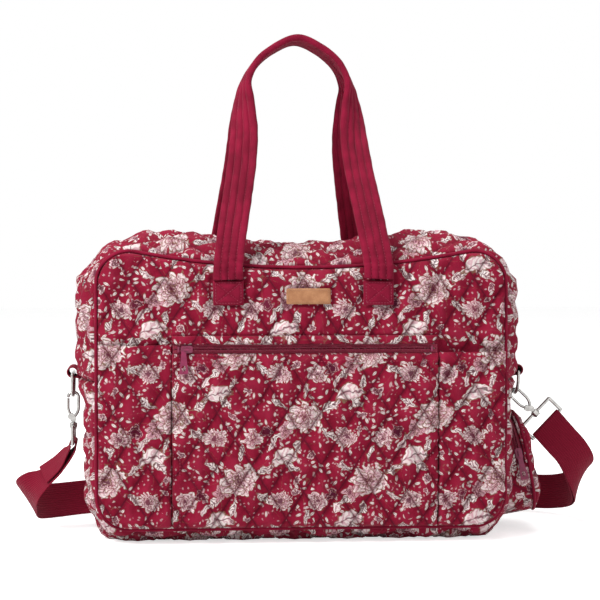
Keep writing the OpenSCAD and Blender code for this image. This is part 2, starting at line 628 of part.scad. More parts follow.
// Places a clip with its eye hanging on the ring
module on_left_ring() { translate([-ring_x, 0, ring_low_z - hang_z]) children(); }
module on_right_ring() {
    translate([ring_x, 0, ring_low_z]) rotate([0, -right_slant, 0]) translate([0, 0, -hang_z]) children();
}
module hook() {
    r = hook_d / 2;
    cheek_r = 3.3;
    cheek_w = gate_t + 3.2;
    difference() {
        union() {
            translate([0, 0, eye_z]) bent_bar(eye_r, r, 0, 180);
            translate([eye_r, 0, eye_side_z]) cylinder(h = eye_z - eye_side_z, r = r);
            translate([-eye_side_x, 0, eye_side_z]) bent_bar(eye_side_r, r, -52, 0);
            for (p = [[gate_x, gate_z], [0, cheek_r]]) translate([p[0], 0, p[1]])
                rotate([90, 0, 0]) cylinder(h = cheek_w, r = cheek_r, center = true);
        }
        translate([gate_x, 0, gate_z]) rotate([90, 0, 0])
            cylinder(h = gate_t + 2 * run_gap, r = gate_eye_r + rest_gap, center = true);
        translate([gate_x - 2 * cheek_r, -gate_t / 2 - run_gap, gate_z])
            cube([2 * cheek_r + gate_eye_r, gate_t + 2 * run_gap, 2 * cheek_r]);
    }
    translate([gate_x, 0, gate_z]) rotate([90, 0, 0]) cylinder(h = cheek_w, r = gate_pin_r, center = true);
    stem_low = collar_z - collar_h / 2 - rest_gap;
    translate([0, 0, stem_low]) cylinder(h = cheek_r / 2 - stem_low, r = stem_r);
    translate([0, 0, stem_low - 1.4]) cylinder(h = 1.4, r = stem_r + 1.1);
}
module gate() {
    r = hook_d / 2 - 0.1;
    difference() {
        union() {
            translate([gate_x, 0, gate_z]) rotate([90, 0, 0]) cylinder(h = gate_t, r = gate_eye_r, center = true);
            translate([eye_side_x, 0, eye_side_z]) bent_bar(eye_side_r, r, 180, 218);
            translate([-eye_r, 0, eye_side_z]) cylinder(h = gate_tip_z - eye_side_z, r = r);
        }
        translate([gate_x, 0, gate_z]) rotate([90, 0, 0])
            cylinder(h = gate_t + 2, r = gate_pin_r + 0.06, center = true);
    }
}
module strap_loop() {
    r = loop_bar_d / 2;
    side_y = loop_w / 2 + r;
    difference() {
        union() {
            translate([0, 0, collar_z]) cylinder(h = collar_h, r = collar_r, center = true);
            for (z = [collar_z, loop_bar_z]) translate([0, 0, z]) rotate([90, 0, 0])
                cylinder(h = 2 * side_y, r = r, center = true);
            for (s = [-1, 1]) {
                translate([0, s * side_y, loop_bar_z]) cylinder(h = loop_drop, r = r);
                for (z = [collar_z, loop_bar_z]) translate([0, s * side_y, z]) sphere(r);
            }
        }
        translate([0, 0, collar_z]) cylinder(h = collar_h + 2, r = stem_r + 0.08, center = true);
    }
}
module left_hook() { color(metal_colour) on_left_ring() hook(); }
module right_hook() { color(metal_colour) on_right_ring() hook(); }
module left_gate() { color(metal_colour) on_left_ring() gate(); }
module right_gate() { color(metal_colour) on_right_ring() gate(); }
module left_strap_loop() { color(metal_colour) on_left_ring() strap_loop(); }
module right_strap_loop() { color(metal_colour) on_right_ring() rotate([0, 0, 90]) strap_loop(); }

// Shoulder strap: sewn round the left loop, round behind the bag, and through the right loop
// to an adjuster that rides on the strap behind the bag
function from_bar(bar, route) = [for (p = route) p + concat(bar, [0, 0, 0])];
right_up = [-sin(right_slant), 0, cos(right_slant)];
right_across = [cos(right_slant), 0, sin(right_slant)];
function round_right_bar(a) = concat(right_bar + wrap * (sin(a) * [0, 1, 0] + cos(a) * right_up), right_across);
strap_route = concat(from_bar(left_bar, left_route),
    [for (x = [-140, adjuster_x, 140]) [x, run_y, run_z, 0, 0, 1]],
    from_bar(right_bar, right_route), [for (a = [-90, -45, 0]) round_right_bar(a)]);
strap_line = smooth_route(strap_route, 2);
module shoulder_strap() {
    color(plain_colour) sweep_section(strap_line, flat_section(strap_w, strap_t));
}
// The returning layer follows the inner side of the strap from the right loop to the adjuster
function inner_layer(r, i) = let (t = unit(place(r[i + 1]) - place(r[i - 1])),
    w = unit(width_dir(r[i]) - (width_dir(r[i]) * t) * t))
    concat(place(r[i]) + cross(t, w) * layer_gap, w);
bar_y = run_y - layer_gap - strap_t / 2 - rest_gap - bar_r;
module strap_return() {
    turn = bar_r + rest_gap + strap_t / 2;
    from = 2 * (len(left_route) + 2 + len(right_route));
    to = 2 * (len(left_route) + 1) + 1;
    route = concat([for (a = [22, 50, 80, 110]) round_right_bar(a)],
        [for (i = [from : -1 : to]) inner_layer(strap_line, i)],
        [[adjuster_x + 12, run_y - layer_gap, run_z, 0, 0, 1]],
        [for (a = [90, 135, 180, 225, 270])
            [adjuster_x + turn * cos(a), bar_y + turn * sin(a), run_z, 0, 0, 1]],
        [[adjuster_x + 14, bar_y - turn, run_z, 0, 0, 1]]);
    color(plain_colour) sweep_section(reversed(route), flat_section(strap_w, strap_t));
}
module strap_adjuster() {
    outer_y = run_y + strap_t / 2 + rest_gap + bar_r;
    rail_z = strap_w / 2 + 0.5;
    rail_t = 3;
    half_l = 13;
    color(metal_colour) translate([adjuster_x, 0, run_z]) {
        for (p = [[-half_l + bar_r, outer_y], [half_l - bar_r, outer_y], [0, bar_y]])
            translate([p[0], p[1], 0]) cylinder(h = 2 * rail_z + 0.2, r = bar_r, center = true);
        for (s = [-1, 1]) translate([-half_l, bar_y - bar_r, s > 0 ? rail_z : -rail_z - rail_t])
            cube([2 * half_l, outer_y - bar_y + 2 * bar_r, rail_t]);
    }
}

// Side pocket: an arched wall on the right gusset, split by a zip, with a domed face
pouch_low_r = pouch_r * 0.6;
module in_pouch() {
    clear = pouch_r * sin(pouch_tilt) - 0.5;
    translate([half_w + side_bulge + clear, 0, pouch_h]) rotate([0, -pouch_tilt, 0]) children();
}
module arch(inset) {
    r = pouch_r - inset;
    low_r = pouch_low_r - inset;
    low_x = pouch_r - pouch_low_r;
    circle(r, $fn = 96);
    translate([-r, -pouch_leg]) square([2 * r, pouch_leg]);
    for (s = [-1, 1]) translate([s * low_x, -pouch_leg]) circle(low_r);
    translate([-low_x, -pouch_leg - low_r]) square([2 * low_x, low_r]);
}
// The space of the gusset behind the pocket, with its clearance
module gusset_space() {
    n = 12;
    edge = [for (i = [0 : n]) let (y = gusset_half * (2 * i / n - 1))
        [side_bulge * (1 - pow(abs(y) / gusset_half, bulge_power)) + rest_gap, y]];
    translate([0, 0, low_corner_z]) linear_extrude(side_seam_h - low_corner_z)
        polygon(concat([[0, -gusset_half]], [for (p = edge) [half_w + p[0], p[1]]], [[0, gusset_half]]));
    translate([corner_x, 0, low_corner_z]) rotate([-90, 0, 0]) rotate_extrude(angle = 90)
        polygon(concat([[0, -gusset_half]], [for (p = edge) [corner_r + p[0], p[1]]], [[0, gusset_half]]));
}
module side_pocket_wall() {
    color(cloth_colour) difference() {
        in_pouch() rotate([90, 0, 90]) translate([0, 0, -pouch_r]) linear_extrude(pouch_r + pouch_depth)
            difference() {
                arch(0);
                arch(pouch_t);
            }
        gusset_space();
        in_pouch() translate([side_zip_x - zip_half, -2 * pouch_r, 0])
            cube([2 * zip_half, 4 * pouch_r, 2 * pouch_r]);
    }
}
module side_pocket_face() {
    flat_t = 1.5;
    fall = 16;
    color(cloth_colour) in_pouch() translate([pouch_depth + sewn_gap, 0, 0]) rotate([90, 0, 90])
        difference() {
            hull() {
                linear_extrude(flat_t) arch(0);
                translate([0, 0, pouch_dome]) linear_extrude(flat_t) arch(fall);
            }
            hull() {
                translate([0, 0, -1]) linear_extrude(1) arch(pouch_t);
                translate([0, 0, pouch_dome - pouch_t]) linear_extrude(flat_t) arch(fall + pouch_t);
            }
        }
}
module on_side_zip(angle) {
    in_pouch() translate([side_zip_x, 0, 0]) rotate([-angle, 0, 0]) translate([0, -side_zip_r, 0])
        rotate([0, 90, 0]) rotate([90, 0, 0]) children();
}
module side_zip_arc(from, to) {
    in_pouch() translate([side_zip_x, 0, 0]) rotate([0, 90, 0]) rotate([0, 0, 270 - to])
        rotate_extrude(angle = to - from) translate([side_zip_r, 0]) children();
}
side_stop = stop_l / side_zip_r * 180 / PI;
module side_zip_tapes() { color(coil_colour) side_zip_arc(0.5, 179.5) tape_section(); }
module side_zip_coils() { color(coil_colour) side_zip_arc(1.5 * side_stop, 180 - 1.5 * side_stop) coil_section(); }
module side_zip_stops() {
    color(slider_colour) for (a = [side_stop * 0.9, 180 - side_stop * 0.9]) on_side_zip(a) zip_stop();
}
module side_zip_slider() { color(slider_colour) on_side_zip(side_slider_angle) slider(); }
module side_zip_pull() {
    color(slider_colour) on_side_zip(side_slider_angle) translate([pin_x, 0, pull_z]) rotate([0, 0, 90]) pull();
}

front_panel();
back_panel();
top_gusset_front();
top_gusset_back();
bottom_gusset();
front_piping();
back_piping();
zip_end_tabs();
top_zip_tapes();
top_zip_coils();
top_zip_stops();
top_zip_slider();
top_zip_pull();
front_pocket();
left_slip_pocket();
right_slip_pocket();
pocket_band();
front_zip_tapes();
front_zip_coils();
front_zip_stops();
front_zip_slider();
front_zip_pull();
front_handle();
back_handle();
front_handle_patches();
back_handle_patches();
leather_label();
left_tab();
right_tab();
left_ring();
right_ring();
left_hook();
right_hook();
left_gate();
right_gate();
left_strap_loop();
right_strap_loop();
shoulder_strap();
strap_return();
strap_adjuster();
side_pocket_wall();
side_pocket_face();
side_zip_tapes();
side_zip_coils();
side_zip_stops();
side_zip_slider();
side_zip_pull();
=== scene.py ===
import bpy
import bmesh
import math
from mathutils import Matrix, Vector, noise


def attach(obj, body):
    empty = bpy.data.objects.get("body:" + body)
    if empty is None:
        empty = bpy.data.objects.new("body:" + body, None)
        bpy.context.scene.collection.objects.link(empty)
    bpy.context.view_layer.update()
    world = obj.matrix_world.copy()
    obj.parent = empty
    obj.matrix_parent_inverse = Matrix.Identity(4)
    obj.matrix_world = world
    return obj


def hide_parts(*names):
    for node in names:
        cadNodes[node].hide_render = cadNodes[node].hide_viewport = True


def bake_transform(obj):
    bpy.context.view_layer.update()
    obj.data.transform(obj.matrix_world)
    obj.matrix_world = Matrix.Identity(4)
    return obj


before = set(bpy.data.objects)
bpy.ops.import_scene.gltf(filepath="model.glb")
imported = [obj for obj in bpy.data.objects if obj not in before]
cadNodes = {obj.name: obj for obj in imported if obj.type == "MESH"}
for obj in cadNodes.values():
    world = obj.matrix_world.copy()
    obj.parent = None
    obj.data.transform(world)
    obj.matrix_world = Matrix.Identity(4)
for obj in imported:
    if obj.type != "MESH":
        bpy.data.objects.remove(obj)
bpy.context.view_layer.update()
mm = 0.001
print("frame loaded")


# shader helpers: numbers drawn with math nodes
class Num:
    def __init__(self, tree, socket):
        self.tree, self.socket = tree, socket

    def op(self, name, *others):
        node = self.tree.nodes.new("ShaderNodeMath")
        node.operation = name
        for slot, value in zip(node.inputs, (self,) + others):
            if isinstance(value, Num):
                self.tree.links.new(value.socket, slot)
            else:
                slot.default_value = value
        return Num(self.tree, node.outputs[0])

    def __add__(self, b): return self.op("ADD", b)
    def __radd__(self, b): return self.op("ADD", b)
    def __sub__(self, b): return self.op("SUBTRACT", b)
    def __rsub__(self, b): return (self * -1.0).op("ADD", b)
    def __mul__(self, b): return self.op("MULTIPLY", b)
    def __rmul__(self, b): return self.op("MULTIPLY", b)
    def __truediv__(self, b): return self.op("DIVIDE", b)
    def size(self): return self.op("ABSOLUTE")

    # 1 below the edge, 0 above it, with a soft border
    def below(self, edge, soft):
        node = self.tree.nodes.new("ShaderNodeMapRange")
        node.interpolation_type = "SMOOTHSTEP"
        self.tree.links.new(self.socket, node.inputs["Value"])
        node.inputs["From Min"].default_value = edge - soft
        node.inputs["From Max"].default_value = edge + soft
        node.inputs["To Min"].default_value = 1.0
        node.inputs["To Max"].default_value = 0.0
        return Num(self.tree, node.outputs[0])


def mixColour(tree, share, first, second):
    node = tree.nodes.new("ShaderNodeMix")
    node.data_type = "RGBA"
    for slot, value in ((node.inputs[0], share), (node.inputs[6], first), (node.inputs[7], second)):
        if isinstance(value, Num):
            tree.links.new(value.socket, slot)
        elif hasattr(value, "is_linked"):
            tree.links.new(value, slot)
        elif isinstance(value, (int, float)):
            slot.default_value = value
        else:
            slot.default_value = (*value, 1.0)
    return node.outputs[2]


def newMaterial(name, roughness, **sockets):
    mat = bpy.data.materials.new(name)
    mat.use_nodes = True
    shader = mat.node_tree.nodes["Principled BSDF"]
    shader.inputs["Roughness"].default_value = roughness
    for key, value in sockets.items():
        shader.inputs[key.replace("_", " ")].default_value = value
    return mat, mat.node_tree, shader


def coordinates(tree, layer=None):
    if layer:
        node = tree.nodes.new("ShaderNodeUVMap")
        node.uv_map = layer
        return node.outputs["UV"]
    return tree.nodes.new("ShaderNodeTexCoord").outputs["Object"]


def split(tree, vector):
    node = tree.nodes.new("ShaderNodeSeparateXYZ")
    tree.links.new(vector, node.inputs[0])
    return [Num(tree, out) for out in node.outputs]


def noiseAt(tree, vector, scale, detail=2.0):
    node = tree.nodes.new("ShaderNodeTexNoise")
    tree.links.new(vector, node.inputs["Vector"])
    node.inputs["Scale"].default_value = scale
    node.inputs["Detail"].default_value = detail
    return Num(tree, node.outputs["Fac"])


def surface(tree, shader, colour, height, strength, distance):
    tree.links.new(colour, shader.inputs["Base Color"])
    node = tree.nodes.new("ShaderNodeBump")
    node.inputs["Strength"].default_value = strength
    node.inputs["Distance"].default_value = distance
    tree.links.new(height.socket, node.inputs["Height"])
    tree.links.new(node.outputs[0], shader.inputs["Normal"])


# floral print, on a half-drop repeat in metres of cloth
printLook = {
    "repeatW": 0.132, "repeatH": 0.129, "motif": 0.83,
    # groundLit is a painted highlight for the middles of the quilted diamonds; ground and groundDeep are the print's
    # own tones
    "ground": (0.265, 0.0060, 0.031), "groundDeep": (0.20, 0.004, 0.022), "groundLit": (0.42, 0.035, 0.085),
    # valley is painted shade for the stitch valleys of the quilting
    "valley": (0.11, 0.0015, 0.011),
    "cream": (0.82, 0.735, 0.715), "blush": (0.60, 0.34, 0.39), "plum": (0.075, 0.006, 0.022),
    "khaki": (0.20, 0.105, 0.065), "quiltW": 0.035, "quiltH": 0.054,
}


def drawPrint(tree, uv):
    look = printLook
    u, v, _ = split(tree, uv)
    wobble = noiseAt(tree, uv, 105.0, 1.5) - 0.5
    wobbleB = noiseAt(tree, uv, 150.0, 1.5) - 0.5
    ink = noiseAt(tree, uv, 520.0, 1.0)
    pu = u / look["repeatW"] + wobble * 0.085
    pv = v / look["repeatH"] + wobbleB * 0.085
    colour = mixColour(tree, noiseAt(tree, uv, 30.0, 2.0).below(0.5, 0.25), look["ground"], look["groundDeep"])

    # nearest copy of a motif at ox, oy on the half-drop lattice
    def near(ox, oy):
        a = (pu - ox) + (pv - oy)
        b = (pu - ox) - (pv - oy)
        a = (a + 0.5).op("FRACT") - 0.5
        b = (b + 0.5).op("FRACT") - 0.5
        return (a + b) * 0.5, (a - b) * 0.5

    def turned(x, y, degrees):
        c, s = math.cos(math.radians(degrees)), math.sin(math.radians(degrees))
        return x * c + y * s, y * c - x * s

    # layered petals: each ring is scalloped, pale at its edge and dark at its root
    def flower(colour, ox, oy, radius, rings, squash=1.0, turn=0.0, pale="cream", root="blush"):
        x, y = turned(*near(ox, oy), turn)
        y = y / squash
        r = ((x * x + y * y).op("SQRT")) / (radius * look["motif"])
        angle = y.op("ARCTAN2", x) + wobbleB * 1.1
        for edge, petals, phase in rings:
            scallop = (angle * (petals / 2.0) + phase).op("COSINE").size()
            inner = r - scallop * (0.30 * edge) - 0.72 * edge
            shade = (r / edge).op("POWER", 1.8) - scallop * 0.10 + (ink - 0.5) * 0.9
            tone = mixColour(tree, shade.below(0.58, 0.22), look[pale], look[root])
            tone = mixColour(tree, shade.below(0.30, 0.12) * 0.85, tone, look["plum"])
            veins = (angle * (petals * 2.5)).op("SINE").below(-0.45, 0.3) * (r / edge).below(0.86, 0.12)
            lines = (veins * 0.5).op("MAXIMUM", scallop.below(0.15, 0.08) * 0.8)
            tone = mixColour(tree, lines, tone, look["plum"])
            tone = mixColour(tree, (inner + 0.05).below(0.0, 0.03) * -1.0 + 1.0, tone, look["khaki"])
            colour = mixColour(tree, inner.below(0.0, 0.015), colour, tone)
        return colour

    def leaf(colour, ox, oy, length, width, turn, pale="cream", fill="plum", bend=0.0):
        x, y = turned(*near(ox, oy), turn)
        x = x / (length * look["motif"])
        y = y / (width * look["motif"]) + x * x * bend
        edge = y.size() + x * x - 1.0
        ribs = ((x - y.size() * 0.5) * 17.0 + ink * 3.0).op("SINE").below(-0.25, 0.45)
        tone = mixColour(tree, ribs * 0.8, look[pale], look[fill])
        tone = mixColour(tree, y.size().below(0.10, 0.06) * 0.8, tone, look["plum"])
        tone = mixColour(tree, (edge + 0.13).below(0.0, 0.07) * -1.0 + 1.0, tone, look["khaki"])
        return mixColour(tree, edge.below(0.0, 0.06), colour, tone)

    # loose petals strewn between the motifs, one to a cell, each turned its own way
    def strewn(colour, scale, length, width, share, pale):
        cells = tree.nodes.new("ShaderNodeTexVoronoi")
        cells.inputs["Scale"].default_value = scale
        tree.links.new(uv, cells.inputs["Vector"])
        cx, cy, _ = split(tree, cells.outputs["Position"])
        pick, spin, _ = split(tree, cells.outputs["Color"])
        x, y = u - cx + wobble * 0.0012, v - cy
        c, s = (spin * 6.2832).op("COSINE"), (spin * 6.2832).op("SINE")
        along, across = (x * c + y * s) / length, (y * c - x * s) / width
        edge = across.size() + along * along - 1.0
        kept = pick.below(share, 0.01)
        tone = mixColour(tree, across.size().below(0.16, 0.1) * 0.75, look[pale], look["plum"])
        tone = mixColour(tree, (edge + 0.3).below(0.0, 0.12) * -0.7 + 0.7, tone, look["khaki"])
        return mixColour(tree, edge.below(0.0, 0.1) * kept, colour, tone)

    trail = noiseAt(tree, uv, 24.0, 0.0)
    stems = ((trail * 7.0).op("FRACT") - 0.5).size().below(0.018, 0.014) * ink.below(0.52, 0.08)
    colour = mixColour(tree, stems * 0.6, colour, look["khaki"])
    colour = strewn(colour, 215.0, 0.0016, 0.0009, 0.34, "blush")
    colour = strewn(colour, 130.0, 0.0033, 0.0014, 0.34, "cream")
    for row in ((0.205, 0.10, 0.095, 0.036, 28), (0.19, -0.12, 0.085, 0.032, -36),
                (-0.20, 0.12, 0.095, 0.034, 146), (-0.18, -0.14, 0.085, 0.034, 215),
                (0.02, 0.225, 0.080, 0.030, 80), (-0.05, -0.215, 0.075, 0.030, 255)):
        colour = leaf(colour, *row)
    colour = leaf(colour, 0.345, 0.205, 0.150, 0.080, 14, bend=0.55, fill="blush")
    colour = leaf(colour, 0.405, 0.120, 0.085, 0.036, -38)
    colour = leaf(colour, 0.255, 0.290, 0.070, 0.030, 62, fill="blush")
    colour = flower(colour, 0.315, -0.150, 0.112,
                    ((1.0, 15, 0.2), (0.72, 12, 0.9), (0.42, 8, 0.1)), squash=0.84, turn=-15)
    colour = flower(colour, 0.105, 0.345, 0.098,
                    ((1.0, 7, 0.5), (0.66, 6, 1.3), (0.36, 4, 0.4)))
    colour = flower(colour, 0.215, 0.395, 0.062, ((1.0, 6, 0.1), (0.6, 5, 0.7)), pale="blush", root="plum")
    for ox, oy, size in ((0.455, 0.02, 0.040), (0.06, -0.29, 0.036), (0.43, -0.08, 0.034)):
        colour = flower(colour, ox, oy, size, ((1.0, 5, ox * 9), (0.36, 5, 0.0)))
    colour = flower(colour, -0.135, -0.085, 0.080, ((1.0, 6, 0.3), (0.6, 5, 1.0), (0.3, 4, 0.2)), pale="blush")
    colour = flower(colour, 0.0, 0.01, 0.182,
                    ((1.0, 9, 0.3), (0.80, 8, 1.0), (0.60, 7, 0.2), (0.40, 5, 0.8), (0.2, 4, 0.1)),
                    squash=0.88, turn=20)
    return colour


# finishes
def quiltedCotton(layer="cloth"):
    mat, tree, shader = newMaterial("quiltedCotton", 0.84, Sheen_Weight=0.03, Specular_IOR_Level=0.12)
    uv = coordinates(tree, layer)
    colour = drawPrint(tree, uv)
    u, v, _ = split(tree, uv)
    # stitch lines of the quilting: painted shade along them and in their valleys, dashed by the thread, and a painted
    # highlight on the middle of each diamond
    a = u / printLook["quiltW"] + v / printLook["quiltH"]
    b = u / printLook["quiltW"] - v / printLook["quiltH"]
    toA = ((a + 0.5).op("FRACT") - 0.5).size()
    toB = ((b + 0.5).op("FRACT") - 0.5).size()
    nearest = toA.op("MINIMUM", toB)
    lines = nearest.below(0.022, 0.018)
    valley = nearest.below(0.06, 0.085)
    # painted shade: the valley colour darkens the band round each stitch line, and plum darkens the line itself
    colour = mixColour(tree, valley * 0.58, colour, printLook["valley"])
    colour = mixColour(tree, lines * 0.50, colour, printLook["plum"])
    worn = noiseAt(tree, uv, 420.0, 3.0)
    # painted highlight: groundLit lightens the middle of each quilted diamond, away from its stitch lines
    colour = mixColour(tree, nearest.below(0.26, 0.14) * -0.16 + 0.16, colour, printLook["groundLit"])
    weave = (u * 8200.0).op("SINE") * (v * 8200.0).op("SINE")
    dash = ((a - b) * 42.0).op("SINE").below(0.2, 0.4)
    pucker = noiseAt(tree, uv, 150.0, 2.0) * valley
    height = weave * 0.10 + worn * 0.7 + pucker * 2.2 - lines * 0.9 + lines * dash * 0.5
    surface(tree, shader, colour, height, 0.55, 0.0009)
    return mat


plainLook = {"base": (0.262, 0.0060, 0.034), "deep": (0.165, 0.003, 0.020), "thread": (0.31, 0.016, 0.055)}


def plainTwill():
    mat, tree, shader = newMaterial("plainTwill", 0.8, Sheen_Weight=0.04, Specular_IOR_Level=0.12)
    spot = coordinates(tree)
    x, y, z = split(tree, spot)
    patchy = noiseAt(tree, spot, 60.0, 3.0)
    fine = noiseAt(tree, spot, 900.0, 2.0)
    colour = mixColour(tree, patchy.below(0.5, 0.22), plainLook["base"], plainLook["deep"])
    colour = mixColour(tree, fine.below(0.45, 0.1) * 0.25, colour, plainLook["deep"])
    ribs = ((x + y + z * 1.15) * 5200.0).op("SINE")
    surface(tree, shader, colour, ribs * 0.25 + fine * 1.2 + patchy * 2.0, 0.4, 0.0005)
    return mat


def ribbedWebbing(layer="cloth"):
    mat, tree, shader = newMaterial("ribbedWebbing", 0.76, Sheen_Weight=0.03, Specular_IOR_Level=0.14)
    uv = coordinates(tree, layer)
    u, v, _ = split(tree, uv)
    ribs = (u * (2 * math.pi / 0.0024)).op("SINE")
    picks = (v * (2 * math.pi / 0.0015)).op("SINE")
    fine = noiseAt(tree, uv, 700.0, 2.0)
    colour = mixColour(tree, ribs.below(-0.35, 0.5) * 0.5, (0.215, 0.003, 0.022), (0.12, 0.0015, 0.011))
    colour = mixColour(tree, fine.below(0.42, 0.15) * 0.25, colour, plainLook["deep"])
    surface(tree, shader, colour, ribs * 0.6 + picks * ribs * 0.3 + fine * 0.5, 0.55, 0.0007)
    return mat


def tanLeather():
    mat, tree, shader = newMaterial("tanLeather", 0.52, Coat_Weight=0.06, Specular_IOR_Level=0.4)
    spot = coordinates(tree)
    grain = tree.nodes.new("ShaderNodeTexVoronoi")
    grain.feature = "DISTANCE_TO_EDGE"
    grain.inputs["Scale"].default_value = 950.0
    tree.links.new(spot, grain.inputs["Vector"])
    pores = Num(tree, grain.outputs["Distance"])
    cloud = noiseAt(tree, spot, 130.0, 4.0)
    colour = mixColour(tree, cloud.below(0.5, 0.2), (0.46, 0.215, 0.095), (0.33, 0.135, 0.055))
    colour = mixColour(tree, pores.below(0.08, 0.08) * 0.3, colour, (0.22, 0.085, 0.035))
    surface(tree, shader, colour, pores.below(0.1, 0.1) * -0.6 + cloud * 1.5, 0.35, 0.0004)
    return mat


def polishedNickel():
    mat, tree, shader = newMaterial("polishedNickel", 0.2, Metallic=1.0)
    spot = coordinates(tree)
    swirl = noiseAt(tree, spot, 220.0, 4.0)
    scuff = noiseAt(tree, spot, 1500.0, 2.0)
    colour = mixColour(tree, swirl.below(0.5, 0.3), (0.46, 0.445, 0.43), (0.27, 0.26, 0.25))
    surface(tree, shader, colour, scuff + swirl * 2.0, 0.08, 0.0002)
    return mat


# smooth and faintly clouded, for the metal and the nylon of the zips
def cloudedFinish(name, roughness, scale, detail, light, dark, relief, **sockets):
    mat, tree, shader = newMaterial(name, roughness, **sockets)
    cloud = noiseAt(tree, coordinates(tree), scale, detail)
    colour = mixColour(tree, cloud.below(0.48, 0.2), light, dark)
    surface(tree, shader, colour, cloud, relief, 0.0003)
    return mat


def zipTapeWeave():
    mat, tree, shader = newMaterial("zipTapeWeave", 0.75, Sheen_Weight=0.1)
    spot = coordinates(tree)
    x, _, z = split(tree, spot)
    fine = noiseAt(tree, spot, 800.0, 2.0)
    colour = mixColour(tree, fine.below(0.46, 0.14), (0.25, 0.008, 0.038), (0.17, 0.004, 0.024))
    herring = ((x + (z * 4000.0).op("SINE") * 0.0002) * 5000.0).op("SINE")
    surface(tree, shader, colour, herring * 0.4 + fine, 0.4, 0.0004)
    return mat


def sewingThread(name, colourA, colourB):
    mat, tree, shader = newMaterial(name, 0.6, Sheen_Weight=0.15)
    spot = coordinates(tree)
    x, y, z = split(tree, spot)
    twist = ((x + y + z) * 9000.0).op("SINE")
    fine = noiseAt(tree, spot, 1200.0, 1.0)
    colour = mixColour(tree, fine.below(0.5, 0.2), colourA, colourB)
    surface(tree, shader, colour, twist * 0.5 + fine, 0.3, 0.0002)
    return mat


cotton = quiltedCotton()
twill = plainTwill()
webbing = ribbedWebbing()
leather = tanLeather()
nickel = polishedNickel()
enamel = cloudedFinish("zipEnamel", 0.36, 260.0, 3.0, (0.235, 0.008, 0.062), (0.165, 0.005, 0.042), 0.12,
                       Coat_Weight=0.2, Coat_Roughness=0.2)
tapeWeave = zipTapeWeave()
nylon = cloudedFinish("zipNylon", 0.42, 500.0, 2.0, (0.24, 0.008, 0.038), (0.16, 0.004, 0.024), 0.15,
                      Specular_IOR_Level=0.45)
redThread = sewingThread("redThread", plainLook["thread"], plainLook["base"])
tanThread = sewingThread("tanThread", (0.40, 0.20, 0.10), (0.30, 0.14, 0.07))
print("finishes made")

# the seam outline, in millimetres, as the CAD has it
body = {
    "halfW": 209.0, "halfD": 94.0, "cornerR": 33.0, "lowSeam": 15.0, "valley": 281.0, "dipR": 900.0,
    "dome": 9.0, "rim": 2.5, "topBulge": 18.0, "sideBulge": 9.0, "baseBulge": 16.5,
    "gussetHalf": 91.15, "sideSeam": 165.0, "lowBulgeZ": 136.0, "inset": 2.1, "crown": 8.0,
    "slumpFrom": 158.0, "slumpOver": 24.0, "slump": 0.62,
    "lowest": 15, "highest": 299, "thick": 4.6, "zipHalf": 4.6,
}
cornerX = body["halfW"] - body["cornerR"]
lowCornerZ = body["lowSeam"] + body["cornerR"]
dipZ = body["valley"] + body["dipR"]
highCornerZ = dipZ - math.sqrt((body["dipR"] + body["cornerR"]) ** 2 - cornerX ** 2)
dipAngle = math.asin(cornerX / (body["dipR"] + body["cornerR"]))


def panelTop(x, inset):
    r = body["cornerR"] - inset
    if abs(x) > cornerX - r * math.sin(dipAngle):
        return highCornerZ + math.sqrt(max(0.0, r * r - (abs(x) - cornerX) ** 2))
    return dipZ - math.sqrt((body["dipR"] + inset) ** 2 - x * x)


def panelLow(x, inset):
    r = body["cornerR"] - inset
    if abs(x) > cornerX:
        return lowCornerZ - math.sqrt(max(0.0, r * r - (abs(x) - cornerX) ** 2))
    return body["lowSeam"] + inset


def bow(t):
    return max(0.0, 1 - abs(t) ** 4)


def domeAt(x, z):
    low, high = panelLow(x, 0), panelTop(x, 0)
    if high - low < 1:
        return 0.0
    return body["dome"] * bow(x / body["halfW"]) * bow((2 * z - low - high) / (high - low))


def frontY(x, z):
    return -(body["halfD"] + body["rim"] + domeAt(x, z))


def smoothStep(t):
    t = min(1.0, max(0.0, t))
    return t * t * (3 - 2 * t)


# points [x, z, outward x, outward z] along an arc or a line, without its last point
def arcPoints(step, cx, cz, r, a0, a1, sign=1):
    n = max(2, int(abs(math.radians(a1 - a0)) * r / step))
    angles = [math.radians(a0 + (a1 - a0) * k / n) for k in range(n)]
    return [(cx + r * math.cos(a), cz + r * math.sin(a), sign * math.cos(a), sign * math.sin(a)) for a in angles]


def linePoints(step, x0, z0, x1, z1, nx=0, nz=0):
    n = max(2, int(math.hypot(x1 - x0, z1 - z0) / step))
    return [(x0 + (x1 - x0) * k / n, z0 + (z1 - z0) * k / n, nx, nz) for k in range(n)]


# the seam outline, clockwise seen from the front
def outlineLoop(step=4.0):
    w, r, low = body["halfW"], body["cornerR"], body["lowSeam"]
    dip = math.degrees(dipAngle)
    top = linePoints(step, -w, body["sideSeam"], -w, highCornerZ, -1, 0) \
        + arcPoints(step, -cornerX, highCornerZ, r, 180, 90 - dip) \
        + arcPoints(step, 0, dipZ, body["dipR"], 270 - dip, 270 + dip, -1) \
        + arcPoints(step, cornerX, highCornerZ, r, 90 + dip, 0) \
        + linePoints(step, w, highCornerZ, w, body["sideSeam"], 1, 0)
    base = linePoints(step, w, body["sideSeam"], w, lowCornerZ, 1, 0) \
        + arcPoints(step, cornerX, lowCornerZ, r, 0, -90) \
        + linePoints(step, cornerX, low, -cornerX, low, 0, -1) \
        + arcPoints(step, -cornerX, lowCornerZ, r, -90, -180) \
        + linePoints(step, -w, lowCornerZ, -w, body["sideSeam"], -1, 0)
    return top + base, len(top)


loopPts, topCount = outlineLoop()


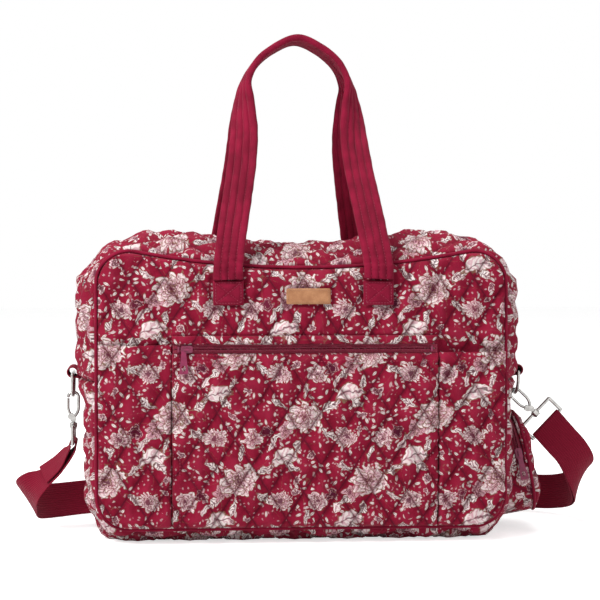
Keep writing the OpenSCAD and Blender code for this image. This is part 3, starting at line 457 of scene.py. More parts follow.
# the point at any length along a path, and the path's whole length
def sampler(pts):
    total = [0.0]
    for p, q in zip(pts, pts[1:]):
        total.append(total[-1] + math.dist(p[:2], q[:2]))

    def at(s):
        s = min(max(s, 0.0), total[-1])
        lo, hi = 0, len(total) - 1
        while hi - lo > 1:
            mid = (lo + hi) // 2
            if total[mid] <= s:
                lo = mid
            else:
                hi = mid
        t = (s - total[lo]) / max(1e-9, total[hi] - total[lo])
        return tuple(a + (b - a) * t for a, b in zip(pts[lo], pts[hi]))
    return at, total[-1]


topAt, topLength = sampler(loopPts[:topCount] + [(body["halfW"], body["sideSeam"], 1, 0)])
baseAt, baseLength = sampler(loopPts[topCount:] + [(-body["halfW"], body["sideSeam"], -1, 0)])


def gussetPoint(row, y, lift):
    x, z, nx, nz = row
    share = smoothStep((z - body["lowBulgeZ"]) / (body["sideSeam"] - body["lowBulgeZ"]))
    bulge = body["sideBulge"] + (body["topBulge"] - body["sideBulge"]) * share
    under = smoothStep((-nz - 0.55) / 0.45)
    bulge += (body["baseBulge"] - bulge) * under
    # past the ends of the zip the top slumps towards rounded corners
    slump = smoothStep((abs(x) - body["slumpFrom"]) / body["slumpOver"]) * smoothStep(nz / 0.35)
    bulge *= 1 - body["slump"] * slump
    power = 2.5 + 1.5 * under
    b = bulge * (1 - min(1.0, abs(y) / body["gussetHalf"]) ** power) + lift
    crown = body["crown"] * (0.45 + 0.55 * smoothStep((abs(x) - 30) / 70)) * (1 - smoothStep((abs(x) - 120) / 45))
    b += crown * smoothStep((nz - 0.5) / 0.4) * math.sin(math.pi * min(1.0, abs(y) / body["gussetHalf"])) ** 1.5
    return x + nx * b, y, max(0.15, z + nz * b)


# soft sheets: a grid primitive laid on the form, blown up by the cloth solver between its stitches
quilting = {"cellW": 35.0, "cellH": 54.0, "steps": 10, "puff": 7.5, "pressure": 5.0, "slack": -0.09,
            "frames": 14, "cap": 5.0}


def emptySelection():
    if bpy.context.object and bpy.context.object.mode != "OBJECT":
        bpy.ops.object.mode_set(mode="OBJECT")
    bpy.ops.object.select_all(action="DESELECT")


def asActive(obj):
    emptySelection()
    obj.select_set(True)
    bpy.context.view_layer.objects.active = obj


def applyAll(obj):
    asActive(obj)
    for modifier in list(obj.modifiers):
        bpy.ops.object.modifier_apply(modifier=modifier.name)


def joined(pieces, name):
    emptySelection()
    for piece in pieces:
        piece.select_set(True)
    bpy.context.view_layer.objects.active = pieces[0]
    bpy.ops.object.join()
    obj = bpy.context.object
    obj.name = name
    return obj


# a mesh from its corners, with the cloth's coordinates in millimetres
def meshObject(name, verts, faces, uvs=()):
    mesh = bpy.data.meshes.new(name)
    mesh.from_pydata(verts, [], faces)
    if uvs:
        layer = mesh.uv_layers.new(name="cloth")
        for spot, (u, v) in zip(layer.data, [corner for face in uvs for corner in face]):
            spot.uv = (u * mm, v * mm)
    obj = bpy.data.objects.new(name, mesh)
    bpy.context.collection.objects.link(obj)
    return obj


def turnOutward(obj):
    bm = bmesh.new()
    bm.from_mesh(obj.data)
    bmesh.ops.recalc_face_normals(bm, faces=bm.faces)
    bm.to_mesh(obj.data)
    bm.free()
    return obj


def gridObject(name, columns, rows):
    emptySelection()
    bpy.ops.mesh.primitive_grid_add(x_subdivisions=columns, y_subdivisions=rows, size=1)
    obj = bpy.context.object
    obj.name = name
    return obj


def quiltGrid(name, uRange, vRange, place, trim=None, covered=None):
    stepU = quilting["cellW"] / quilting["steps"]
    stepV = quilting["cellH"] / quilting["steps"]
    i0, i1 = math.floor(uRange[0] / stepU), math.ceil(uRange[1] / stepU)
    j0, j1 = math.floor(vRange[0] / stepV), math.ceil(vRange[1] / stepV)
    obj = gridObject(name, i1 - i0, j1 - j0)
    bm = bmesh.new()
    bm.from_mesh(obj.data)
    cell = {}
    for vert in bm.verts:
        i = i0 + round((vert.co.x + 0.5) * (i1 - i0))
        j = j0 + round((vert.co.y + 0.5) * (j1 - j0))
        cell[vert.index] = (i, j)
    n = quilting["steps"]
    for face in list(bm.faces):
        by = {cell[v.index]: v for v in face.verts}
        i, j = min(k[0] for k in by), min(k[1] for k in by)
        up = (i - j) % n == 0 or ((i + j + 1) % n != 0 and (i + j) % 2 == 0)
        ends = ((i, j), (i + 1, j + 1)) if up else ((i + 1, j), (i, j + 1))
        bmesh.utils.face_split(face, by[ends[0]], by[ends[1]])
    uv = bm.loops.layers.uv.verify()
    pin = bm.verts.layers.float.new("stitched")
    flat = {}
    for vert in bm.verts:
        i, j = cell[vert.index]
        u = min(max(i * stepU, uRange[0]), uRange[1])
        v = min(max(j * stepV, vRange[0]), vRange[1])
        if trim:
            low, high = trim(u)
            v = min(max(v, low), high)
        rim = u in uRange or v in vRange or (trim and v in trim(u))
        stitch = rim or (i - j) % n == 0 or (i + j) % n == 0 or (covered and covered(u, v))
        a, b = (i + j) / n, (i - j) / n
        pillow = 0.0 if stitch else (abs(math.sin(math.pi * a) * math.sin(math.pi * b))) ** 0.45
        flat[vert.index] = (u, v)
        vert[pin] = 1.0 if stitch else 0.0
        uneven = 0.85 + 0.5 * noise.noise((u * 0.03, v * 0.03, len(name)))
        vert.co = [c * mm for c in place(u, v, quilting["puff"] * 0.6 * pillow * uneven)]
    for face in bm.faces:
        for corner in face.loops:
            u, v = flat[corner.vert.index]
            corner[uv].uv = (u * mm, v * mm)
    bmesh.ops.remove_doubles(bm, verts=bm.verts, dist=0.25 * mm)
    bm.to_mesh(obj.data)
    bm.free()
    obj.data.uv_layers[0].name = "cloth"
    return obj


def swell(obj):
    held = obj.vertex_groups.new(name="stitches")
    for k, value in enumerate(obj.data.attributes["stitched"].data):
        held.add([k], value.value, "REPLACE")
    start = [v.co.copy() for v in obj.data.vertices]
    cloth = obj.modifiers.new("cloth", "CLOTH")
    settings = cloth.settings
    settings.quality = 4
    settings.mass = 0.25
    settings.tension_stiffness = settings.compression_stiffness = 12
    settings.shear_stiffness = 6
    settings.bending_stiffness = 0.6
    settings.use_pressure = True
    settings.uniform_pressure_force = quilting["pressure"]
    settings.shrink_min = quilting["slack"]
    settings.vertex_group_mass = "stitches"
    settings.pin_stiffness = 50
    settings.effector_weights.gravity = 0
    cloth.point_cache.frame_start = 1
    cloth.point_cache.frame_end = quilting["frames"]
    scene = bpy.context.scene
    for f in range(1, quilting["frames"] + 1):
        scene.frame_set(f)
    applyAll(obj)
    scene.frame_set(1)
    cap = quilting["cap"] * mm
    for vert, before in zip(obj.data.vertices, start):
        move = vert.co - before
        if move.length > cap:
            vert.co = before + move * (cap / move.length)
    moves = [(v.co - before).length for v, before in zip(obj.data.vertices, start)]
    print(obj.name, "swelled by up to", round(max(moves) * 1000, 1), "mm, on average",
          round(sum(moves) / len(moves) * 1000, 2))
    obj.vertex_groups.clear()
    return obj


def thicken(obj, thickness):
    solid = obj.modifiers.new("back", "SOLIDIFY")
    solid.thickness = thickness * mm
    solid.offset = -1
    applyAll(obj)
    bm = bmesh.new()
    bm.from_mesh(obj.data)
    for vert in bm.verts:
        vert.co.z = max(vert.co.z, 0.0)
    bm.to_mesh(obj.data)
    bm.free()


def finishCloth(obj, material, slotName, fill, *nodes):
    obj.data.materials.clear()
    obj.data.materials.append(material)
    asActive(obj)
    bpy.ops.object.shade_smooth()
    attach(obj, "bag")
    if nodes:
        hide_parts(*nodes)
    return obj


def facing(obj, outward):
    total = sum((p.normal * p.area for p in obj.data.polygons), Vector())
    if total.dot(Vector(outward)) < 0:
        obj.data.flip_normals()


def quilted(obj, outward, thick, node):
    facing(obj, outward)
    swell(obj)
    thicken(obj, thick)
    finishCloth(obj, cotton, "quilted_cotton", 0.5, node)


def quiltedPanel(name, node, xs, zs, base, thick, side=-1, trim=None, lip=None, covered=None):
    def place(x, z, lift):
        extra = lip(x, z) if lip else 0.0
        return x, side * (-frontY(x, z) + base + lift + extra), z
    quilted(quiltGrid(name, xs, zs, place, trim, covered), (0, side, 0), thick, node)


inset = body["inset"]
pocket = {"left": -133.0, "right": 137.0, "zipH": 199.0, "zipHalf": 4.6, "bandH": 9.0, "slipH": 203.0,
          "slipRightH": 195.0, "slipMid": 172, "slipHalf": 36, "gapeFrom": 170, "gapeOver": 33,
          "base": 5.2, "thick": 4.4, "gape": 5.0, "pullX": -121.0, "pullReach": 37.0}
panelEdges = (-body["halfW"] + inset, body["halfW"] - inset)
panelRise = (body["lowest"], body["highest"])
panelTrim = lambda x: (panelLow(x, inset), panelTop(x, inset))


# where the panels lie flat: under the handle patches, the label and the pockets
flatUnder = {"patchX": 76, "patchHalf": 19, "labelX": 5, "labelHalf": 27, "low": 240, "patchHigh": 274,
             "labelHigh": 263, "pocketHigh": 216, "pocketEdge": 4, "slipEdge": 2}


def patchedBack(x, z):
    return abs(abs(x) - flatUnder["patchX"]) < flatUnder["patchHalf"] and flatUnder["low"] < z < flatUnder["patchHigh"]


def sewnDown(x, z):
    underLabel = abs(x - flatUnder["labelX"]) < flatUnder["labelHalf"] and flatUnder["low"] < z < flatUnder["labelHigh"]
    inPocket = pocket["left"] - flatUnder["pocketEdge"] < x < pocket["right"] + flatUnder["pocketEdge"]
    underPocket = z < (flatUnder["pocketHigh"] if inPocket else pocket["slipH"] + flatUnder["slipEdge"])
    return patchedBack(x, z) or underLabel or underPocket


def underPull(x, z):
    # the cloth lies flat where the zip's pull sweeps
    return math.hypot(x - pocket["pullX"], z - pocket["zipH"]) < pocket["pullReach"]


quiltedPanel("frontPanel", "front_panel", panelEdges, panelRise, 0, body["thick"], trim=panelTrim, covered=sewnDown)
quiltedPanel("backPanel", "back_panel", panelEdges, panelRise, 0, body["thick"], side=1, trim=panelTrim,
             covered=patchedBack)
print("panels quilted")


def slipTrim(high):
    return lambda x: (panelLow(x, inset), high)


def slipLip(x, z):
    middle = 1 - abs((abs(x) - pocket["slipMid"]) / pocket["slipHalf"]) ** 2
    return pocket["gape"] * max(0.0, middle) * smoothStep((z - pocket["gapeFrom"]) / pocket["gapeOver"])


def pocketPanel(name, node, xs, zs, **more):
    quiltedPanel(name, node, xs, zs, pocket["base"], pocket["thick"], **more)


left, right, seamLow = pocket["left"], pocket["right"], body["lowSeam"] + inset
zipLow, zipHigh = pocket["zipH"] - pocket["zipHalf"], pocket["zipH"] + pocket["zipHalf"]
pocketPanel("zipPocket", "front_pocket", (left, right), (seamLow, zipLow), covered=underPull)
pocketPanel("zipBand", "pocket_band", (left, right), (zipHigh, zipHigh + pocket["bandH"]))
pocketPanel("leftSlipPocket", "left_slip_pocket", (panelEdges[0], left - 0.5), (body["lowest"], pocket["slipH"]),
            trim=slipTrim(pocket["slipH"]), lip=slipLip, covered=underPull)
pocketPanel("rightSlipPocket", "right_slip_pocket", (right + 0.5, panelEdges[1]),
            (body["lowest"], pocket["slipRightH"]), trim=slipTrim(pocket["slipRightH"]), lip=slipLip)
print("front pockets quilted")


def quiltedBand(name, node, at, length, ys):
    obj = quiltGrid(name, ys, (0.25, length - 0.25), lambda y, s, lift: gussetPoint(at(s), y, lift))
    middle = at(length / 2)
    quilted(obj, (middle[2], 0, middle[3]), body["thick"], node)


quiltedBand("topGussetFront", "top_gusset_front", topAt, topLength, (-body["gussetHalf"], -body["zipHalf"]))
quiltedBand("topGussetBack", "top_gusset_back", topAt, topLength, (body["zipHalf"], body["gussetHalf"]))
quiltedBand("bottomGusset", "bottom_gusset", baseAt, baseLength, (-body["gussetHalf"], body["gussetHalf"]))
print("gussets quilted")


# ribbons and tubes: the way across a ribbon, and the way out of its face
def ribbonAxes(before, after, width):
    t = (Vector(after) - Vector(before)).normalized()
    w = Vector(width)
    w = (w - w.dot(t) * t).normalized()
    return w, t.cross(w)


def sweepMesh(name, points, widths, section, closedLoop=False):
    m, count = len(section), len(points)
    length = 0.0
    verts, uvRows = [], []
    for i, p in enumerate(points):
        before = points[(i - 1) % count] if closedLoop else points[max(0, i - 1)]
        after = points[(i + 1) % count] if closedLoop else points[min(count - 1, i + 1)]
        w, n = ribbonAxes(before, after, widths[i])
        verts += [tuple((Vector(p) + w * s[0] + n * s[1]) * mm) for s in section]
        if i:
            length += math.dist(p, points[i - 1])
        uvRows.append(length)
    faces, uvs = [], []
    for i in range(count if closedLoop else count - 1):
        j = (i + 1) % count
        for k in range(m):
            q = (k + 1) % m
            faces.append((i * m + k, i * m + q, j * m + q, j * m + k))
            top = uvRows[j] if j > i else length + math.dist(points[0], points[-1])
            a, b = section[k][0], section[q][0]
            uvs.append([(a, uvRows[i]), (b, uvRows[i]), (b, top), (a, top)])
    if not closedLoop:
        for row, order in ((0, range(m - 1, -1, -1)), (count - 1, range(m))):
            faces.append([row * m + k for k in order])
            uvs.append([(section[k][0], uvRows[row]) for k in order])
    return turnOutward(meshObject(name, verts, faces, uvs))


def curveThrough(rows, steps):
    out = []
    last = len(rows) - 1
    for i in range(last):
        a, b = rows[max(0, i - 1)], rows[i]
        c, d = rows[i + 1], rows[min(last, i + 2)]
        for k in range(steps):
            t = k / steps
            out.append(tuple(0.5 * (2 * q + (r - p) * t + (2 * p - 5 * q + 4 * r - s) * t * t
                                    + (3 * q - p - 3 * r + s) * t ** 3) for p, q, r, s in zip(a, b, c, d)))
    out.append(tuple(rows[last]))
    return out


def evenly(rows, spacing):
    out, left = [rows[0]], spacing
    for p, q in zip(rows, rows[1:]):
        gap = math.dist(p[:3], q[:3])
        pos = 0.0
        while gap - pos >= left:
            pos += left
            t = pos / gap
            out.append(tuple(a + (b - a) * t for a, b in zip(p, q)))
            left = spacing
        left -= gap - pos
    return out


def ringSection(r, sides=12):
    return [(r * math.cos(2 * math.pi * k / sides), r * math.sin(2 * math.pi * k / sides)) for k in range(sides)]


piping = {"r": 1.95, "ripple": 0.4}


def pipingCord(name, node, side):
    pts = [(p[0], side * body["halfD"], p[1]) for p in loopPts]
    obj = sweepMesh(name, pts, [(0, 1, 0)] * len(pts), ringSection(piping["r"]), closedLoop=True)
    for vert in obj.data.vertices:   # the bias strip puckers a little over its cord
        wave = noise.noise(vert.co * 160.0) + 0.5 * noise.noise(vert.co * 420.0)
        vert.co += Vector((vert.co.x * 0.15, 0, vert.co.z - 0.15)).normalized() * wave * piping["ripple"] * mm
    return finishCloth(obj, twill, "plain_cotton", None, node)


pipingCord("frontPiping", "front_piping", -1)
pipingCord("backPiping", "back_piping", 1)


# one stitch and one zip tooth, modelled once and copied along their seams
def smallForm(kind):
    emptySelection()
    if kind == "stitch":
        bpy.ops.mesh.primitive_uv_sphere_add(segments=6, ring_count=5, radius=0.5)
    else:
        bpy.ops.mesh.primitive_cube_add(size=1)
        bpy.ops.object.mode_set(mode="EDIT")
        bpy.ops.mesh.select_all(action="SELECT")
        bpy.ops.mesh.bevel(offset=0.22, segments=1, affect="EDGES")
        bpy.ops.object.mode_set(mode="OBJECT")
    obj = bpy.context.object
    verts = [v.co.copy() for v in obj.data.vertices]
    faces = [tuple(f.vertices) for f in obj.data.polygons]
    bpy.data.objects.remove(obj, do_unlink=True)
    return verts, faces


stitchForm, toothForm = smallForm("stitch"), smallForm("tooth")


def strewCopies(name, form, places):
    # each place is a middle and three axes, already at their lengths
    formVerts, formFaces = form
    verts, faces = [], []
    for middle, xAxis, yAxis, zAxis in places:
        base = len(verts)
        verts += [tuple((middle + xAxis * c.x + yAxis * c.y + zAxis * c.z) * mm) for c in formVerts]
        faces += [tuple(base + k for k in f) for f in formFaces]
    return turnOutward(meshObject(name, verts, faces))


def stitchRow(name, rows, pitch=3.2, size=2.3, thick=0.38, material=redThread, slotName="plain_cotton"):
    places = []
    for path in rows:
        spots = evenly(path, pitch)
        for p, q in zip(spots, spots[1:]):
            a, b = Vector(p[:3]), Vector(q[:3])
            t = (b - a).normalized()
            side = t.cross(Vector(p[3:6])).normalized()
            places.append(((a + b) / 2, side * thick * 2, side.cross(t) * thick * 2, t * size))
    obj = strewCopies(name, stitchForm, places)
    return finishCloth(obj, material, slotName, None)


def onPocket(x, z, above=0.25):
    return (x, frontY(x, z) - pocket["base"] - above, z, 0, -1, 0)


def seamLine(x0, z0, x1, z1, above=0.25, count=40):
    return [onPocket(x0 + (x1 - x0) * k / count, z0 + (z1 - z0) * k / count, above) for k in range(count + 1)]


levelSeams = ((zipLow - 8, 2.2), (zipLow - 2, 0.4), (zipHigh + 2, 0.4))
uprightSeams = ((left + 1.5, zipHigh + 8, 0.4), (right - 1.5, zipHigh + 8, 0.4), (left + 8, zipLow - 2, 2.2),
                (right - 8, zipLow - 2, 2.2))
stitchRow("pocketStitches", [seamLine(left + 2, z, right - 2, z, above) for z, above in levelSeams]
          + [seamLine(x, seamLow + 2, x, z, above) for x, z, above in uprightSeams])
print("piping and seams sewn")

# handles: padded straps with four channels
handle = {"w": 30.0, "t": 7.0, "x": 76.0, "top": 524.0, "patchTop": 268.0, "patchH": 25.0,
          "midY": 16.0, "puff": 3.56, "gap": 0.3, "endGap": 1.0, "sewnAt": 0.82, "threadUp": 3.95}
handleY = -frontY(handle["x"], handle["patchTop"]) + handle["puff"] + handle["gap"] + handle["t"] / 2
handleLeg = [(0, 1, 1, 0), (.06, 1, 1, 0), (.17, .95, .88, 0), (.3, .88, .7, 0), (.45, .8, .48, 5),
             (.58, .755, .31, 20), (.7, .745, .17, 48), (.81, .72, .07, 78), (.9, .56, .02, 90),
             (.965, .3, 0, 90), (1, 0, 0, 90)]


def handlePoint(p, s):
    low = handle["patchTop"] + handle["endGap"]
    a = math.radians(p[3])
    return (s * handle["x"] * p[1], -handle["midY"] - (handleY - handle["midY"]) * p[2],
            low + (handle["top"] - handle["t"] / 2 - low) * p[0], -s * math.cos(a), -math.sin(a), 0)


handleRoute = [handlePoint(p, -1) for p in handleLeg] + [handlePoint(p, 1) for p in reversed(handleLeg[:-1])]
handleLine = evenly(curveThrough(handleRoute, 12), 2.2)


def channelSection():
    # four padded channels between three rows of stitching, and a rolled edge each side
    n, w, t = 40, handle["w"], handle["t"] / 2
    front = []
    for k in range(n + 1):
        f = k / n
        lobe = abs(math.sin(math.pi * 4 * f)) ** 0.55
        front.append((w * (f - 0.5), t * (0.42 + 0.58 * lobe) * (1.0 if 0 < k < n else 0.6)))
    return front + [(x, -y) for x, y in reversed(front)]


def mirrored(rows, side):
    return [(p[0], p[1] * -side, p[2], p[3], p[4] * -side, p[5]) for p in rows] if side > 0 else rows


def makeHandle(name, node, side):
    rows = mirrored(handleLine, side)
    section = channelSection()
    obj = sweepMesh(name, [p[:3] for p in rows], [p[3:6] for p in rows], section)
    for vert in obj.data.vertices:   # creases above the patches, and padding that shifts along the channels
        crease = math.exp(-((vert.co.z * 1000 - handle["patchTop"] - 14) / 16) ** 2)
        wave = math.sin(vert.co.z * 1000 * 0.85 + 3 * noise.noise(vert.co * 70.0))
        vert.co.y += side * 0.0007 * crease * wave
        vert.co += Vector((noise.noise(vert.co * 90.0), noise.noise(vert.co * 90.0 + Vector((9, 0, 0))),
                           0)) * 0.0005
    finishCloth(obj, twill, "plain_cotton", 0.7, node)
    lines = []
    for f in (-0.25, 0.0, 0.25):
        for face in (-1, 1):
            path = []
            for i, p in enumerate(rows):
                w, n = ribbonAxes(rows[max(0, i - 1)][:3], rows[min(len(rows) - 1, i + 1)][:3], p[3:6])
                n *= face
                path.append((*(Vector(p[:3]) + w * handle["w"] * f + n * (handle["t"] / 2 * 0.42 + 0.25)), *n))
            lines.append(path)
    stitchRow(name + "Stitches", lines)


makeHandle("frontHandle", "front_handle", -1)
makeHandle("backHandle", "back_handle", 1)


def patchPoint(x, z, above, side=-1):
    return x, side * (-frontY(x, z) + handle["puff"] + handle["gap"] + above), z


def boxCorners(x, z, a, b):
    return [(x - a, z - b), (x + a, z - b), (x + a, z + b), (x - a, z + b)]


def sewnLine(p, q, above, side, count):
    return [(*patchPoint(p[0] + (q[0] - p[0]) * k / count, p[1] + (q[1] - p[1]) * k / count, above, side), 0, side, 0)
            for k in range(count + 1)]


def makePatches(name, node, side):
    half, low, high = (handle["w"] + 1) / 2, handle["patchTop"] - handle["patchH"], handle["patchTop"]
    pads, threads = [], []
    for s in (-1, 1):
        pad = gridObject(name, 24, 20)
        for vert in pad.data.vertices:
            fx, fz = vert.co.x, vert.co.y
            rounded = (1 - abs(2 * fx) ** 8) * (1 - abs(2 * fz) ** 8)
            frameLine = max(abs(2 * fx), abs(2 * fz))
            sewn = math.exp(-((frameLine - handle["sewnAt"]) / 0.07) ** 2)
            if frameLine < handle["sewnAt"]:
                sewn = max(sewn, math.exp(-((abs(fx) - abs(fz)) / 0.045) ** 2))
            x, z = s * handle["x"] + fx * 2 * half, (low + high) / 2 + fz * handle["patchH"]
            vert.co = [c * mm for c in patchPoint(x, z, 2.4 + 2.6 * rounded - 1.3 * sewn, side)]
        facing(pad, (0, side, 0))
        pads.append(pad)
        corners = boxCorners(s * handle["x"], (low + high) / 2, half * handle["sewnAt"],
                             handle["patchH"] / 2 * handle["sewnAt"])
        sides = list(zip(corners, corners[1:] + corners[:1])) + [(corners[0], corners[2]), (corners[1], corners[3])]
        threads += [sewnLine(p, q, handle["threadUp"], side, 12) for p, q in sides]
    obj = joined(pads, name)
    thicken(obj, 2.2)
    finishCloth(obj, twill, "plain_cotton", 0.4, node)
    stitchRow(name + "Stitches", threads, pitch=2.9, size=2.2)


makePatches("frontPatches", "front_handle_patches", -1)
makePatches("backPatches", "back_handle_patches", 1)
print("handles sewn on")

# leather label, bare, with a sewn border
label = {"x": 5.0, "z": 252.0, "w": 45.0, "h": 16.0, "t": 1.8}


def makeLabel():
    obj = gridObject("leatherLabel", 36, 14)
    for vert in obj.data.vertices:
        fx, fz = vert.co.x * 2, vert.co.y * 2
        edge = max(abs(fx) ** 14, abs(fz) ** 9)
        x, z = label["x"] + fx * label["w"] / 2, label["z"] + fz * label["h"] / 2
        corner = max(0.0, abs(fx) - 0.94) * max(0.0, abs(fz) - 0.84)
        x -= math.copysign(corner * 60, fx)
        z -= math.copysign(corner * 60, fz)
        vert.co = [c * mm for c in patchPoint(x, z, label["t"] - 0.5 * edge)]
    facing(obj, (0, -1, 0))
    thicken(obj, label["t"] - 0.55)
    finishCloth(obj, leather, "leather", None, "leather_label")
    corners = boxCorners(label["x"], label["z"], label["w"] / 2 - 2.0, label["h"] / 2 - 2.0)
    rows = [sewnLine(p, q, label["t"] + 0.1, -1, 20) for p, q in zip(corners, corners[1:] + corners[:1])]
    stitchRow("labelStitches", rows, pitch=2.4, size=1.7, thick=0.26, material=tanThread, slotName="leather")


makeLabel()

# zips: coil teeth along each run, with the CAD's tapes, sliders and pulls
zips = {"pitch": 1.5, "coilD": 1.9, "coilZ": 1.4, "apart": 1.28, "toothL": 0.95, "toothW": 2.1, "frontX": 2,
        "frontL": 252}


def zipTeeth(name, node, places):
    copies = []
    for origin, along, across, out in places:
        for s in (-1, 1):
            middle = origin + along * (zips["pitch"] / 4 * s) + across * (zips["apart"] * s) + out * zips["coilZ"]
            copies.append((middle, along * zips["toothL"], across * zips["toothW"], out * zips["coilD"]))
    obj = strewCopies(name, toothForm, copies)
    return finishCloth(obj, nylon, "zip_coil", None, node)


frontZipY = frontY(0, pocket["zipH"]) - 2.5
count = int(zips["frontL"] / zips["pitch"])
zipTeeth("frontZipTeeth", "front_zip_coils", [
    (Vector((zips["frontX"] - zips["frontL"] / 2 + k * zips["pitch"], frontZipY, pocket["zipH"])),
     Vector((1, 0, 0)), Vector((0, 0, 1)),
     Vector((0, -1, 0))) for k in range(count + 1)])
topZip = {"r": 884.7, "end": math.radians(9.85)}
count = int(2 * topZip["end"] * topZip["r"] / zips["pitch"])
rows = []
for k in range(count + 1):
    a = topZip["end"] * (2 * k / count - 1)
    up = Vector((-math.sin(a), 0, math.cos(a)))
    rows.append((Vector((0, 0, dipZ)) - up * topZip["r"], Vector((math.cos(a), 0, math.sin(a))),
                 Vector((0, 1, 0)), up))
zipTeeth("topZipTeeth", "top_zip_coils", rows)

pouch = {"r": 50.0, "leg": 24.0, "lowR": 30.0, "h": 72.0, "tilt": 10.0, "depth": 15.2, "dome": 4.0,
         "zipX": 7.6, "zipR": 47.3, "zipHalf": 4.6, "zipFrom": 4, "zipSpan": 172, "bindR": 1.7, "bindUp": 1.2,
         "faceThick": 2.6, "wallThick": 2.0}
tilt = math.radians(pouch["tilt"])
pouchAt = Vector((body["halfW"] + body["sideBulge"] + pouch["r"] * math.sin(tilt) - 0.5, 0, pouch["h"]))
pouchX = Vector((math.cos(tilt), 0, math.sin(tilt)))
pouchZ = Vector((-math.sin(tilt), 0, math.cos(tilt)))
pouchY = Vector((0, 1, 0))


def inPouch(x, y, z):
    return pouchAt + pouchX * x + pouchY * y + pouchZ * z


rows = []
count = int(math.radians(pouch["zipSpan"]) * pouch["zipR"] / zips["pitch"])
for k in range(count + 1):
    a = math.radians(pouch["zipFrom"] + pouch["zipSpan"] * k / count)
    out = pouchY * -math.cos(a) + pouchZ * math.sin(a)
    rows.append((pouchAt + pouchX * pouch["zipX"] + out * pouch["zipR"],
                 pouchY * math.sin(a) + pouchZ * math.cos(a), pouchX, out))
zipTeeth("sideZipTeeth", "side_zip_coils", rows)
print("zips toothed")


# strips of plain cotton that close the top past each end of the zip
endStrip = {"start": 0.5, "length": 168.4, "steps": 79, "lift": -0.6}


def endStrips():
    points = [gussetPoint(topAt(endStrip["start"] + endStrip["length"] * k / endStrip["steps"]), 0, endStrip["lift"])
              for k in range(endStrip["steps"] + 1)]
    section = [(-4.3, -1.0), (-2.2, -0.6), (0, -0.9), (2.2, -0.6), (4.3, -1.0), (4.3, 0.8), (2.2, 1.3), (0, 0.6),
               (-2.2, 1.3), (-4.3, 0.8)]
    pieces = [sweepMesh(f"endStrip{k}", [(s * -x, 0, z) for x, _, z in points], [(0, 1, 0)] * len(points), section)
              for k, s in enumerate((-1, 1))]
    finishCloth(joined(pieces, "zipEndStrips"), twill, "plain_cotton", None, "zip_end_tabs")


endStrips()


# side pocket: a domed quilted face on an arched wall with bound edges
def archOutline(step=3.0):
    r, low, leg = pouch["r"], pouch["lowR"], -pouch["leg"]
    lowX = r - low
    pts = arcPoints(step, 0, 0, r, 0, 180) + linePoints(step, -r, 0, -r, leg) \
        + arcPoints(step, -lowX, leg, low, 180, 270) + linePoints(step, -lowX, leg - low, lowX, leg - low) \
        + arcPoints(step, lowX, leg, low, 270, 360) + linePoints(step, r, leg, r, 0)
    return [p[:2] for p in pts]


def archHalf(z):
    r, low = pouch["r"], pouch["lowR"]
    if z >= 0:
        return math.sqrt(max(0.0, r * r - z * z))
    if z >= -pouch["leg"]:
        return r
    return r - low + math.sqrt(max(0.0, low * low - (z + pouch["leg"]) ** 2))


def archDepth(y, z):
    low = -pouch["leg"] - pouch["lowR"]
    half = archHalf(z)
    if half < 0.5:
        return 0.0
    mid = (pouch["r"] + low) / 2
    return pouch["dome"] * bow(y / half) * bow((z - mid) / ((pouch["r"] - low) / 2))


def pocketFace():
    low = -pouch["leg"] - pouch["lowR"]

    def trim(y):
        top = math.sqrt(max(0.0, (pouch["r"] - 1) ** 2 - y * y))
        lowX = pouch["r"] - pouch["lowR"]
        if abs(y) <= lowX:
            return low + 1, top
        return -pouch["leg"] - math.sqrt(max(0.0, (pouch["lowR"] - 1) ** 2 - (abs(y) - lowX) ** 2)), top

    def place(y, z, lift):
        return tuple(inPouch(pouch["depth"] + 2.0 + archDepth(y, z) + lift * 0.8, y, z))

    obj = quiltGrid("sidePocketFace", (-pouch["r"] + 1, pouch["r"] - 1), (low + 1, pouch["r"] - 1), place, trim)
    quilted(obj, (1, 0, 0), pouch["faceThick"], "side_pocket_face")


pocketFace()


def gussetX(y, z):
    b = body["sideBulge"] * (1 - min(1.0, abs(y) / body["gussetHalf"]) ** 2.5)
    if z >= lowCornerZ:
        return body["halfW"] + b
    r = body["cornerR"] + b
    return cornerX + math.sqrt(max(0.0, r * r - (lowCornerZ - z) ** 2))


def wallBand(xFrom, xTo, outline, rows=5):
    # grid between a depth function and another along the arch, as one strip
    verts, faces, uvs = [], [], []
    n = len(outline)
    run = 0.0
    runs = []
    for k in range(n):
        if k:
            run += math.dist(outline[k], outline[k - 1])
        runs.append(run)
        y, z = outline[k]
        a, b = xFrom(y, z), xTo(y, z)
        for j in range(rows + 1):
            t = j / rows
            puff = 0.5 * math.sin(math.pi * t)
            away = Vector((y, z)).normalized() * puff
            verts.append(tuple(inPouch(a + (b - a) * t, y + away.x, z + away.y) * mm))
    for k in range(n - 1):
        for j in range(rows):
            p, q = k * (rows + 1) + j, (k + 1) * (rows + 1) + j
            faces.append((p, q, q + 1, p + 1))
            uvs.append([(runs[k], 20 + 4 * j), (runs[k + 1], 20 + 4 * j), (runs[k + 1], 24 + 4 * j),
                        (runs[k], 24 + 4 * j)])
    return meshObject("wallBand", verts, faces, uvs)


def onGusset(y, z):
    spot = inPouch(0, y, z)
    x = gussetX(y, spot.z)
    return (x + 0.4 - spot.x) / pouchX.x


